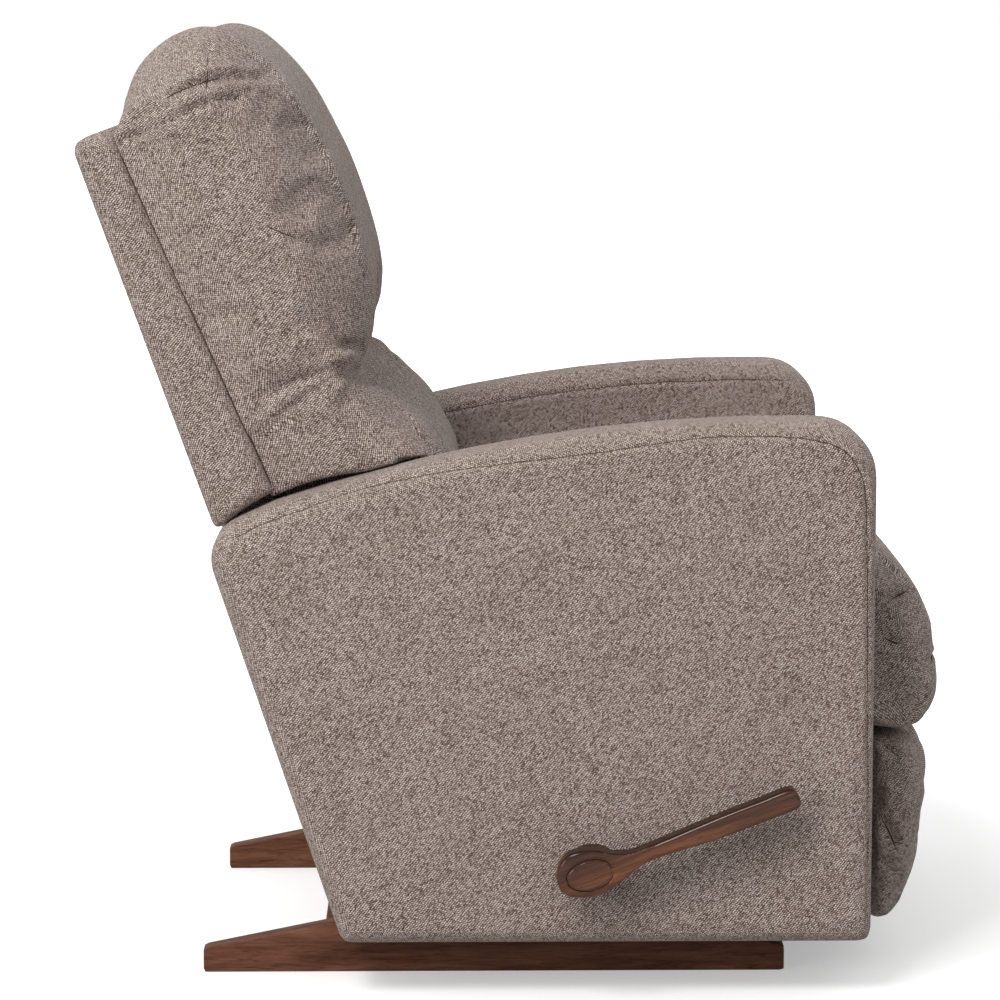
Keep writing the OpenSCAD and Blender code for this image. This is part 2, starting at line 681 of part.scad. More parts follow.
// Lever with an oval hub
hub_r = 30;
tip_r = 13;
module lever_handle() {
    face = arm_out - lever_out;
    grip = [face, face + 24];
    tip = lever_axis + (lever_len - tip_r) * ahead(lever_rise);
    neck = lever_axis + 62 * ahead(lever_rise);
    socket = [face + 12, arm_out];
    color(lever_wood) difference() {
        union() {
            bar(lever_axis, hub_r, [face, arm_out - 1]);
            hull() {
                bar(neck, 20, grip);
                bar(lever_axis, hub_r - 2, grip);
            }
            hull() {
                bar(neck, 20, grip);
                bar(tip, tip_r, [grip[0] + 4, grip[1] - 2]);
            }
        }
        bore(lever_axis, rod_r, [socket[0] + 1, socket[1]]);
    }
}

module drive_rod() {
    color(steel) bar(lever_axis, rod_r, [arm_out - lever_out + 14, -plate_x[0]]);
}

module drive_cranks() {
    color(steel) both_sides() difference() {
        union() {
            strap(lever_axis, crank_tip, link_w + 4, layer_1);
            bar(crank_tip, pin_r, [layer_1[0], layer_2[1]]);
        }
        bore(lever_axis, rod_r, layer_1);
    }
}

module drive_links() {
    color(steel) both_sides() difference() {
        strap(crank_tip, lift_tip, link_w, layer_2);
        bore(crank_tip, pin_r, layer_2);
        bore(lift_tip, pin_r, layer_2);
    }
}

// Lift arm: a bell crank whose tail is pushed by the drive link
module lift_arms() {
    color(steel) both_sides() {
        difference() {
            union() {
                strap(pivot_a, pivot_e, link_w, layer_1);
                strap(pivot_a, lift_tip, link_w, layer_1);
            }
            bore(pivot_a, pin_r + 1, layer_1);
            bore(pivot_m1, pin_r, layer_1);
            bore(pivot_e, pin_r, layer_1);
        }
        bar(lift_tip, pin_r, [layer_1[0], layer_2[1]]);
    }
}

module cross_links() {
    color(steel) both_sides() {
        strap(pivot_b, pivot_d, link_w, layer_2);
        bar(pivot_b, pin_r, [plate_x[0] + 0.5, layer_2[1]]);
        bar(pivot_m1, pin_r, [layer_1[0], layer_2[1] + 1.5]);
        bar(pivot_d, pin_r, [layer_1[0], layer_2[1] + 1.5]);
    }
}

module front_links() {
    color(steel) both_sides() difference() {
        strap(pivot_d, pivot_g, link_w, layer_1);
        bore(pivot_d, pin_r, layer_1);
        bore(pivot_m2, pin_r, layer_1);
        bore(pivot_g, pin_r, layer_1);
    }
}

module carrier_links() {
    color(steel) both_sides() {
        strap(pivot_e, pivot_f, link_w, layer_2);
        bar(pivot_e, pin_r, [layer_1[0], layer_2[1] + 1.5]);
        bar(pivot_m2, pin_r, [layer_1[0], layer_2[1] + 1.5]);
        bar(pivot_f, pin_r, [layer_2[0], layer_3[1]]);
    }
}

module control_links() {
    color(steel) both_sides() {
        strap(pivot_g, pivot_q, link_w, layer_2);
        bar(pivot_g, pin_r, [layer_1[0], layer_2[1]]);
        bar(pivot_q, pin_r, [layer_2[0], layer_3[1]]);
    }
}

// Legrest
board_y = pivot_f[0] - link_w / 2 - 2;
board_z = [76, 262];
board_half = -layer_3[0];
module legrest_brackets() {
    flange = [board_y, board_y + shelf_t];
    color(steel) both_sides() {
        difference() {
            prism(layer_3) polygon(rounded([[flange[0], board_z[0] + 20], [flange[0], board_z[1] - 2],
                [pivot_f[0] + 11, board_z[1] - 2], [pivot_f[0] + 11, pivot_q[1] - 12],
                [flange[0] + 8, board_z[0] + 20]], [1, 1, 9, 12, 3]));
            bore(pivot_f, pin_r, layer_3);
            bore(pivot_q, pin_r, layer_3);
        }
        translate([layer_3[1] - 0.5, flange[0], board_z[0] + 20])
            cube([30, shelf_t, board_z[1] - board_z[0] - 24]);
    }
}

module legrest_board() {
    color(poplar) prism([-board_half, board_half])
        polygon(rounded([[board_y - board_t, board_z[0]], [board_y, board_z[0]], [board_y, board_z[1]],
            [board_y - board_t, board_z[1]]], same(4, 3)));
}

module legrest_cushion() {
    rear = board_y - board_t - seat_gap;
    front = rear - legrest_t;
    outline = [[rear, 92], [rear, 140], [rear, 200], [rear, 250], [rear - 10, 264], [rear - 28, 264],
               [front + 6, 250], [front, 225], [front + 1, 190], [front + 8, 150], [front + 17, 112],
               [front + 32, 80], [rear - 8, 68], [rear - 1, 76]];
    color(fabric) cushion(outline, cushion_half - 2, 18, 6, function (x, p) [min(p[0], rear), p[1]]);
}

module right_side() {
    translate([stand_x, 0, 0]) children();
}

module left_side() {
    translate([stand_x, 0, 0]) mirrored() children();
}

right_side() base_rail();  // base_rail_right
left_side() base_rail();  // base_rail_left
right_side() base_cross(-190);  // base_cross_front
right_side() base_cross(220);  // base_cross_rear
right_side() spring_seats();
right_side() rocker_springs();  // rocker_springs_right
left_side() rocker_springs();  // rocker_springs_left
right_side() rocker_cam();  // rocker_cam_right
left_side() rocker_cam();  // rocker_cam_left
right_side() chassis_rail();  // chassis_rail_right
left_side() chassis_rail();  // chassis_rail_left
right_side() chassis_cross(-200);  // chassis_cross_front
right_side() chassis_cross(150);  // chassis_cross_rear
right_side() spring_caps();
right_side() side_plate();  // side_plate_right
left_side() side_plate();  // side_plate_left
right_side() plate_spacers();
right_side() seat_pivot_brackets();
right_side() arm_frame();  // arm_frame_right
left_side() arm_frame();  // arm_frame_left
right_side() arm_cover(true);  // arm_cover_right
left_side() arm_cover(false);  // arm_cover_left
right_side() rear_panel();
right_side() seat_rail();  // seat_rail_right
left_side() seat_rail();  // seat_rail_left
right_side() seat_cross(seat_cross_y[0]);  // seat_front_rail
right_side() seat_cross(seat_cross_y[1]);  // seat_rear_rail
right_side() seat_springs();
right_side() seat_cushion();
right_side() back_post();  // back_post_right
left_side() back_post();  // back_post_left
right_side() back_rail(back_len - top_rail_drop, 50, [9, band_top - 8]);  // back_top_rail
right_side() back_rail(-120, 50, [50, 74]);  // back_lower_rail
right_side() back_webbing();
right_side() back_bracket();  // back_bracket_right
left_side() back_bracket();  // back_bracket_left
right_side() color(fabric) back_wing();  // back_wing_right
left_side() color(fabric) back_wing();  // back_wing_left
right_side() back_cover();
right_side() back_cushion();
right_side() lumbar_cushion();
right_side() seat_links();
right_side() lever_handle();
right_side() drive_rod();
right_side() drive_cranks();
right_side() drive_links();
right_side() lift_arms();
right_side() cross_links();
right_side() front_links();
right_side() carrier_links();
right_side() control_links();
right_side() legrest_brackets();
right_side() legrest_board();
right_side() legrest_cushion();
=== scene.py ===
import math

import bmesh
import bpy
import numpy as np
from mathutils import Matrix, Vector
from mathutils.bvhtree import BVHTree
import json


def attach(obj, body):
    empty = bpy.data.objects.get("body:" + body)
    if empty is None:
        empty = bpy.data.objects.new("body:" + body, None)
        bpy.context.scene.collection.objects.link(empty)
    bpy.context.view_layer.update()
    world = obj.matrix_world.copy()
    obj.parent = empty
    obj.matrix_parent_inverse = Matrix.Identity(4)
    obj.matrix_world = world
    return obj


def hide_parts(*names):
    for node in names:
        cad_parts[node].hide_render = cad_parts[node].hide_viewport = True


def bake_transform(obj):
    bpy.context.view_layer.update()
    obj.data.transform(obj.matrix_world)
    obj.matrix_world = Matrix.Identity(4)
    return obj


# Rocking recliner. Side outlines are lists of (y, z) in millimetres from the chair's middle, and lines of
# the photograph are lists of its pixels. The meshes are in metres in the frame of the CAD model.

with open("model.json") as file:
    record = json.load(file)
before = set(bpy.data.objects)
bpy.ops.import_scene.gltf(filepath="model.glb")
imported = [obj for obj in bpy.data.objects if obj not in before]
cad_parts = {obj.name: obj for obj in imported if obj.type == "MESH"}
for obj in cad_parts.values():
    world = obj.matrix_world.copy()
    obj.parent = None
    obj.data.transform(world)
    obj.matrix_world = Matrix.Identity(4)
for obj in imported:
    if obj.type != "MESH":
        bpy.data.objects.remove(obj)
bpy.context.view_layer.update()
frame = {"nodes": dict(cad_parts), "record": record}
scene = bpy.context.scene
MM = 0.001
MID = 0.026  # x of the chair's middle, as the lever makes the model's box wider on the right
ORIGIN = np.array((MID, 0, 0))
SIGN = {"right": -1, "left": 1}  # of x, for the sitter's right and left


def place(x, y, z):
    """A point given in mm from the chair's middle, in the frame."""
    return Vector((x * MM + MID, y * MM, z * MM))


def framed(p):
    """The same for an array of points."""
    return p * MM + ORIGIN


# ------------ camera
PHOTO, SENSOR = 1000, 36  # widths of the photograph in pixels and of the film in mm
FOCAL = 3696.4  # in pixels
YAW, PITCH = math.radians(-0.79), math.radians(7.69)
EYE = Vector((-4.3767, 0.0692, 1.1037))
LOOK = Vector((math.cos(PITCH) * math.cos(YAW), math.cos(PITCH) * math.sin(YAW), -math.sin(PITCH)))
RIGHT = LOOK.cross(Vector((0, 0, 1))).normalized()
ABOVE = RIGHT.cross(LOOK).normalized()
cam = bpy.data.objects.new("camera", bpy.data.cameras.new("camera"))
scene.collection.objects.link(cam)
cam.location = EYE
cam.rotation_mode = "QUATERNION"
cam.rotation_quaternion = LOOK.to_track_quat("-Z", "Y")
cam.data.sensor_width = SENSOR
cam.data.lens = FOCAL * SENSOR / PHOTO
cam.data.clip_end = 60
scene.camera = cam


def ray(px, py):
    """Direction of the view through a pixel of the photograph."""
    return (LOOK * FOCAL + RIGHT * (px - PHOTO / 2) + ABOVE * (PHOTO / 2 - py)).normalized()


def on_plane(px, py, x):
    """Where the view through a pixel meets the upright plane at x mm, as (y, z) in mm."""
    d = ray(px, py)
    p = EYE + d * ((x * MM + MID - EYE.x) / d.x)
    return p.y / MM, p.z / MM


# ------------ outlines
def corner_arc(p, c, q, r):
    """Points along the arc of radius r that rounds the corner c between p and q."""
    steps = 6
    p, c, q = (np.array(v, float) for v in (p, c, q))
    a, b = (p - c) / np.linalg.norm(p - c), (q - c) / np.linalg.norm(q - c)
    half = math.acos(max(-1, min(1, a @ b))) / 2
    m = c + (a + b) / np.linalg.norm(a + b) * r / math.sin(half)
    s, e = c + a * r / math.tan(half), c + b * r / math.tan(half)
    a0, a1 = math.atan2(*(s - m)[::-1]), math.atan2(*(e - m)[::-1])
    sweep = (a1 - a0 + 3 * math.pi) % (2 * math.pi) - math.pi
    turns = [a0 + sweep * i / steps for i in range(steps + 1)]
    return [tuple(m + r * np.array((math.cos(a), math.sin(a)))) for a in turns]


def rounded(pts, radii):
    """A closed outline through pts with a radius at each corner."""
    corners = zip(pts[-1:] + pts[:-1], pts, pts[1:] + pts[:1], radii)
    return [p for a, b, c, r in corners for p in corner_arc(a, b, c, r)]


def lengths(p):
    """How far along a line each of its points is."""
    return np.r_[0, np.cumsum(np.linalg.norm(np.diff(p, axis=0), axis=1))]


def even(pts, n, closed=True):
    """n even points along a line through pts."""
    p = np.array(pts + [pts[0]] if closed else pts, float)
    run = lengths(p)
    at = np.linspace(0, run[-1], n, endpoint=not closed)
    return np.array([np.interp(at, run, p[:, k]) for k in range(p.shape[1])]).T


def spread(pts, step, closed=True):
    """Even points about step apart along a line through pts."""
    whole = lengths(np.array(pts + [pts[0]] if closed else pts, float))[-1]
    return even(pts, max(int(whole / step), 3), closed)


def spline(pts, step, closed=True):
    """Smooth line through pts, evenly divided."""
    p = [np.array(v, float) for v in pts]
    n, parts = len(p), 8
    dense = []
    for i in range(n if closed else n - 1):
        a, b, c, d = (p[(i + k) % n if closed else min(max(i + k, 0), n - 1)] for k in (-1, 0, 1, 2))
        for t in (k / parts for k in range(parts)):
            dense.append(tuple(0.5 * (2 * b + (c - a) * t + (2 * a - 5 * b + 4 * c - d) * t * t
                                      + (3 * b - a - 3 * c + d) * t ** 3)))
    if not closed:
        dense.append(tuple(p[-1]))
    return spread(dense, step, closed)


def outward(o):
    """Unit normals of a closed outline, pointing away from its inside."""
    t = np.roll(o, -1, 0) - np.roll(o, 1, 0)
    t /= np.linalg.norm(t, axis=1)[:, None] + 1e-9
    area = np.sum(o[:, 0] * np.roll(o[:, 1], -1) - np.roll(o[:, 0], -1) * o[:, 1])
    return np.c_[t[:, 1], -t[:, 0]] * (1 if area > 0 else -1)


def rounding(deep, wide, step=15):
    """(Depth, inset) pairs round a quarter of an oval edge."""
    turns = [math.radians(a) for a in range(0, 91, step)]
    return [(deep * (1 - math.cos(g)), wide * (1 - math.sin(g))) for g in turns]


# ------------ meshes
def mesh_object(name, verts, faces):
    me = bpy.data.meshes.new(name)
    me.from_pydata([tuple(v) for v in verts], [], faces)
    me.update()
    o = bpy.data.objects.new(name, me)
    scene.collection.objects.link(o)
    return o


def recalc(o):
    """Turns the faces of a closed mesh outward."""
    bm = bmesh.new()
    bm.from_mesh(o.data)
    bmesh.ops.recalc_face_normals(bm, faces=bm.faces)
    bm.to_mesh(o.data)
    bm.free()


def smooth(o):
    for p in o.data.polygons:
        p.use_smooth = True


def loft(name, rings):
    """Closed skin over rings of equal length, given in mm from the chair's middle."""
    n, m = len(rings[0]), len(rings)
    verts = np.concatenate(rings + [rings[0].mean(0)[None], rings[-1].mean(0)[None]])
    faces = []
    for k in range(m - 1):
        for i in range(n):
            j = (i + 1) % n
            faces.append((k * n + i, k * n + j, (k + 1) * n + j, (k + 1) * n + i))
    faces += [(m * n, (i + 1) % n, i) for i in range(n)]
    faces += [(m * n + 1, (m - 1) * n + i, (m - 1) * n + (i + 1) % n) for i in range(n)]
    o = mesh_object(name, framed(verts), faces)
    recalc(o)
    return o


def ring(x, outline):
    """An outline set at x mm."""
    return np.c_[np.full(len(outline), float(x)), outline]


def bake(o, *mods):
    """Adds modifiers, keeps what they make as the mesh, and removes them."""
    for kind, values in mods:
        m = o.modifiers.new(kind.lower(), kind)
        for k, v in values.items():
            setattr(m, k, v)
    dg = bpy.context.evaluated_depsgraph_get()
    dg.update()
    new = bpy.data.meshes.new_from_object(o.evaluated_get(dg))
    old = o.data
    o.modifiers.clear()
    o.data = new
    new.name = o.name
    bpy.data.meshes.remove(old)
    return o


def remesh(o, mm):
    """Joins what overlaps into one even skin."""
    return bake(o, ("REMESH", dict(mode="VOXEL", voxel_size=mm * MM, use_smooth_shade=True)))


def subdivide(o):
    return bake(o, ("SUBSURF", dict(levels=1, render_levels=1)))


def join(name, objs):
    """One object of several, which are removed."""
    verts, faces, base = [], [], 0
    for o in objs:
        verts += [tuple(v.co) for v in o.data.vertices]
        faces += [tuple(i + base for i in p.vertices) for p in o.data.polygons]
        base = len(verts)
        bpy.data.objects.remove(o)
    return mesh_object(name, verts, faces)


def vertex_data(o, key):
    values = np.zeros(len(o.data.vertices) * 3)
    o.data.vertices.foreach_get(key, values)
    return values.reshape(-1, 3)


def put(o, co):
    """Moves the mesh's points, given in the frame."""
    o.data.vertices.foreach_set("co", np.asarray(co, float).ravel())
    o.data.update()


def local(o):
    """The mesh's points in mm from the chair's middle."""
    return (vertex_data(o, "co") - ORIGIN) / MM


def ease(t):
    """0 below 0, 1 above 1, and a smooth rise between."""
    t = np.clip(t, 0, 1)
    return t * t * (3 - 2 * t)


def bvh(o):
    return BVHTree.FromPolygons([v.co for v in o.data.vertices], [p.vertices for p in o.data.polygons])


def traced(tree, pts, step=6):
    """A line of the photograph, laid on the surface that the camera sees there."""
    leap = 0.05  # a hit further than this from the last one is on another part of the surface
    hits = []
    for px, py in spline(pts, step, closed=False):
        hit = tree.ray_cast(EYE, ray(px, py))[0]
        if hit is not None and (not hits or (hit - Vector(hits[-1])).length < leap):
            hits.append(tuple(hit))
    return np.array(hits)


def laid(tree, pts):
    """A line given in mm, moved to the nearest points of a surface."""
    hits = [tree.find_nearest(place(*p))[0] for p in spread(pts, 5, closed=False)]
    return np.array([tuple(h) for h in hits if h is not None])


def crossing(tree, reach, step, y, z):
    """A line laid across the chair near y, z, from side to side."""
    return laid(tree, [(x, y, z) for x in range(-reach, reach + 1, step)])


def other_side(line):
    return line * np.array((-1, 1, 1)) + 2 * ORIGIN


def both_sides(line):
    return line, other_side(line)


def nearest(pts, line, unit=1.0):
    """Each point's distance from a line, over unit, and how far along the line it is; the line's length."""
    seg = np.linalg.norm(np.diff(line, axis=0), axis=1)
    start = np.r_[0, np.cumsum(seg)]
    best, run = np.full(len(pts), 1e9), np.zeros(len(pts))
    for a, b, s, length in zip(line[:-1], line[1:], start, seg):
        if length < 1e-7:
            continue
        t = np.clip(((pts - a) @ (b - a)) / length ** 2, 0, 1)
        d = np.linalg.norm(pts - (a + t[:, None] * (b - a)), axis=1) / unit
        closer = d < best
        best[closer] = d[closer]
        run[closer] = s + t[closer] * length
    return best, run, start[-1]


def from_line(co, line):
    """Distance in mm from each point to a line, 1e6 where it is far, and how far along it is, 0 to 1."""
    margin = 0.05
    near = np.all((co > line.min(0) - margin) & (co < line.max(0) + margin), axis=1)
    best, along = np.full(len(co), 1e6), np.zeros(len(co))
    best[near], run, length = nearest(co[near], line, MM)
    along[near] = run / length
    return best, along


def held(p, lines, reach, fade):
    """1 for points within reach mm of the lines, and 0 from fade mm further on."""
    hold = np.zeros(len(p))
    for line in lines:
        d, _ = from_line(framed(p), line)
        hold = np.maximum(hold, 1 - np.clip((d - reach) / fade, 0, 1))
    return hold


def groove(o, line, depth, width, shoulder=0.0, fade=0.0, pucker=0.0):
    """Presses a line into a surface: a seam, or with fade a crease that dies out at its ends."""
    if len(line) < 2:
        return
    co, n = vertex_data(o, "co"), vertex_data(o, "normal")
    d, t = from_line(co, line)
    strength = np.ones(len(co))
    if fade:
        strength = np.sqrt(np.clip(np.minimum(t, 1 - t) / fade, 0, 1))
    if pucker:
        length = np.linalg.norm(np.diff(line, axis=0), axis=1).sum() / MM
        strength = strength * (1 + pucker * np.sin(t * length / 9.0) * np.sin(t * length / 23.0 + 1))
    push = -depth * np.exp(-(d / width) ** 2) + shoulder * np.exp(-((d - 2.2 * width) / (1.3 * width)) ** 2)
    put(o, co + n * (push * strength)[:, None] * MM)


def press(o, tree, pts, depth, width, shoulder, step=6, **ends):
    """A groove along a line of the photograph, on both sides of the chair."""
    for line in both_sides(traced(tree, pts, step)):
        groove(o, line, depth, width, shoulder, **ends)


def inflate(o, pinned, cap):
    """Blows a closed cover up like a stuffed cushion, no point by more than cap mm. pinned(points in mm)
    is 1 where it is held."""
    frames = 20
    rest = vertex_data(o, "co")
    hold = np.round(np.clip(pinned(local(o)), 0, 1), 1)
    group = o.vertex_groups.new(name="pin")
    for level in np.unique(hold[hold > 0]):
        group.add([int(i) for i in np.where(hold == level)[0]], float(level), "REPLACE")
    m = o.modifiers.new("cloth", "CLOTH")
    cloth = dict(quality=4, mass=0.3, tension_stiffness=12, compression_stiffness=12, shear_stiffness=6,
                 bending_stiffness=0.4, use_pressure=True, uniform_pressure_force=3.5,
                 vertex_group_mass="pin", shrink_min=-0.03)
    for key, value in cloth.items():
        setattr(m.settings, key, value)
    m.settings.effector_weights.gravity = 0
    m.point_cache.frame_start, m.point_cache.frame_end = 1, frames
    for f in range(1, frames + 1):
        scene.frame_set(f)
    bake(o)
    scene.frame_set(1)
    move = vertex_data(o, "co") - rest
    far = np.linalg.norm(move, axis=1) / MM
    put(o, rest + move * np.minimum(1, cap / np.maximum(far, 1e-6))[:, None])
    o.vertex_groups.clear()


def weave(o, outline, panel):
    """Lays the cloth's threads over a piece: flat on its side panels, which end panel mm inside the
    outline, and elsewhere along x and round the outline."""
    steep = 12  # a face that spans more of the outline than this, in mm, is on a side panel
    me = o.data
    co = local(o)
    best, around, length = nearest(co[:, 1:], np.vstack([outline, outline[:1]]))
    loops = np.zeros(len(me.loops), int)
    me.loops.foreach_get("vertex_index", loops)
    total = np.zeros(len(me.polygons), int)
    me.polygons.foreach_get("loop_total", total)
    face = np.repeat(np.arange(len(total)), total)
    deep = np.bincount(face, best[loops]) / total
    across = co[:, 0] - (co[:, 0].min() + co[:, 0].max()) / 2
    u, v = (across + np.sign(across) * best)[loops], around[loops]
    # A face that lies over the outline's start counts on past its end
    top = np.zeros(len(total))
    np.maximum.at(top, face, v)
    v = np.where(top[face] - v > length / 2, v + length, v)
    bottom = np.full(len(total), 1e9)
    np.minimum.at(bottom, face, v)
    np.maximum.at(top, face, v)
    side = ((deep > panel) | (top - bottom > steep))[face]
    u[side], v[side] = co[loops[side], 1], co[loops[side], 2]
    layer = me.uv_layers.new(name="weave")
    layer.data.foreach_set("uv", (np.c_[u, v] * MM).ravel())


# ------------ threads
CORNERS = 5  # of a thread's section


def unit(v):
    return v / (np.linalg.norm(v, axis=-1, keepdims=True) + 1e-9)


def hoop(centre, across, up, radius):
    """One section of a thread."""
    turns = [2 * math.pi * k / CORNERS for k in range(CORNERS)]
    return [centre + (across * math.cos(g) + up * math.sin(g)) * radius for g in turns]


def walls(base, count):
    """The faces between count hoops in a row, whose vertices start at base."""
    corners = [(k, (k + 1) % CORNERS) for k in range(CORNERS)]
    rows = [base + r * CORNERS for r in range(count - 1)]
    return [(r + k, r + j, r + CORNERS + j, r + CORNERS + k) for r in rows for k, j in corners]


def thread_piece(name, verts, faces, look, body):
    o = mesh_object(name, verts, faces)
    smooth(o)
    o.data.materials.append(look)
    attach(o, body)
    return o


def shade_cord(name, lines, body, thick=0.8, sink=0.45):
    """Painted shade at the bottom of a seam or crease: a thin cord of dark thread along each line, which is a
    list of (point, normal)."""
    verts, faces = [], []
    for line in lines:
        if len(line) < 3:
            continue
        p = np.array([a for a, _ in line])
        up = np.array([b for _, b in line])
        across = np.cross(unit(np.gradient(p, axis=0)), up)
        count = np.arange(len(p))
        ends = np.minimum(1, np.minimum(count, count[::-1]) / 3 + 0.15)
        faces += walls(len(verts), len(p))
        for i in count:
            verts += hoop(p[i] - up[i] * sink * thick * MM, across[i], up[i], thick * ends[i] * MM)
    o = thread_piece(name, verts, faces, SEAM_SHADE, body)
    recalc(o)
    return o


def stitches(name, lines, body):
    """A row of thread stitches along each line, which is a list of (point, normal)."""
    pitch, length, thick, lift = 5.2, 3.6, 0.42, 0.25
    verts, faces = [], []
    for line in lines:
        p = np.array([a for a, _ in line])
        q = np.array([b for _, b in line])
        run = lengths(p) / MM
        pick = lambda at, values: np.array([np.interp(at, run, values[:, k]) for k in range(3)])
        for s in np.arange(pitch / 2, run[-1] - pitch / 2, pitch):
            a, b, up = pick(s - length / 2, p), pick(s + length / 2, p), unit(pick(s, q))
            across = np.cross(unit(b - a), up)
            base = len(verts)
            for share, size, rise in ((0, 0.45, -0.5), (0.25, 1, 0.6), (0.75, 1, 0.6), (1, 0.45, -0.5)):
                centre = a + (b - a) * share + up * (lift + rise * thick) * MM
                verts += hoop(centre, across, up, thick * size * MM)
            faces += walls(base, 4)
            faces.append(tuple(base + k for k in reversed(range(CORNERS))))
            faces.append(tuple(base + 3 * CORNERS + k for k in range(CORNERS)))
    thread_piece(name, verts, faces, THREAD, body)


def beside(tree, line, off=0):
    """Points and normals of a line laid on a surface, shifted sideways by off mm along it."""
    out = []
    for i, p in enumerate(line):
        t = Vector(line[min(i + 1, len(line) - 1)]) - Vector(line[max(i - 1, 0)])
        hit, n = tree.find_nearest(Vector(p))[:2]
        if hit is None or t.length < 1e-7:
            continue
        side = t.normalized().cross(n)
        hit, n = tree.find_nearest(hit + side * off * MM)[:2]
        out.append((tuple(hit), tuple(n)))
    return out


def crease_shades(tree, name, body, lines, thick=0.9):
    """Painted shade in folds of cloth: dark cords along lines of the photograph, on both sides of the chair."""
    traces = [traced(tree, pts, 4) for pts in lines]
    rows = [beside(tree, line) for trace in traces if len(trace) > 2 for line in both_sides(trace)]
    shade_cord(name, rows, body, thick, 0.35)


# ------------ materials
class Nodes:
    """A small writer of node trees."""

    def __init__(self, tree):
        self.tree = tree

    def feed(self, socket, value):
        if isinstance(value, bpy.types.NodeSocket):
            self.tree.links.new(value, socket)
        else:
            socket.default_value = value

    def add(self, kind, inputs=None, **props):
        n = self.tree.nodes.new("ShaderNode" + kind)
        for k, v in props.items():
            setattr(n, k, v)
        for k, v in (inputs or {}).items():
            self.feed(n.inputs[k], v)
        return n

    def math(self, op, a, b=0.0, c=0.0):
        return self.add("Math", {0: a, 1: b, 2: c}, operation=op).outputs[0]

    def weighed(self, a, share_a, b, share_b):
        return self.math("ADD", self.math("MULTIPLY", a, share_a), self.math("MULTIPLY", b, share_b))

    def mix(self, factor, a, b, blend="MIX"):
        return self.add("Mix", {0: factor, 6: a, 7: b}, data_type="RGBA", blend_type=blend).outputs[2]

    def ramp(self, value, stops):
        n = self.add("ValToRGB", {0: value})
        e = n.color_ramp.elements
        while len(e) < len(stops):
            e.new(0.5)
        for s, (at, colour) in zip(e, stops):
            s.position = at
            s.color = (*colour[:3], 1)
        return n.outputs[0]

    def tones(self, value, places, colours):
        """A ramp of colours given from 0 to 255."""
        return self.ramp(value, [(at, srgb(*c)) for at, c in zip(places, colours)])

    def tint(self, colour, value, stops):
        """The colour multiplied by a ramp."""
        return self.mix(1.0, colour, self.ramp(value, stops), "MULTIPLY")

    def noise(self, vector, scale, detail=2.0, rough=0.5):
        values = {"Vector": vector, "Scale": scale, "Detail": detail, "Roughness": rough}
        return self.add("TexNoise", values).outputs[0]

    def object_space(self):
        return self.add("TexCoord").outputs["Object"]

    def seen(self):
        """1 for what the camera or a reflection sees, and 0 for what only lights the chair."""
        path = self.add("LightPath")
        return self.math("MAXIMUM", path.outputs["Is Camera Ray"], path.outputs["Is Glossy Ray"])


class Shader(Nodes):
    """A small writer of materials."""

    def __init__(self, name):
        self.mat = bpy.data.materials.new(name)
        self.mat.use_nodes = True
        super().__init__(self.mat.node_tree)
        self.bsdf = self.tree.nodes["Principled BSDF"]

    def set(self, **values):
        for k, v in values.items():
            self.feed(self.bsdf.inputs[k.replace("_", " ")], v)

    def bump(self, height, strength, distance):
        b = self.add("Bump", {"Height": height, "Strength": strength, "Distance": distance})
        self.feed(self.bsdf.inputs["Normal"], b.outputs[0])


def srgb(r, g, b):
    f = lambda c: (c / 255 / 12.92) if c <= 10.3 else ((c / 255 + 0.055) / 1.055) ** 2.4
    return f(r), f(g), f(b), 1.0


WHITE = (1, 1, 1)
YARNS = (120, 101, 93), (174, 155, 146), (212, 195, 186), (248, 236, 229)
RIB, FLOAT, DRIFT = 2.5, 2.4, 1.6  # mm: from rib to rib, from float to float, and how far the yarn strays
YARN_WIDE, YARN_LONG = 1.35, 1.9  # mm


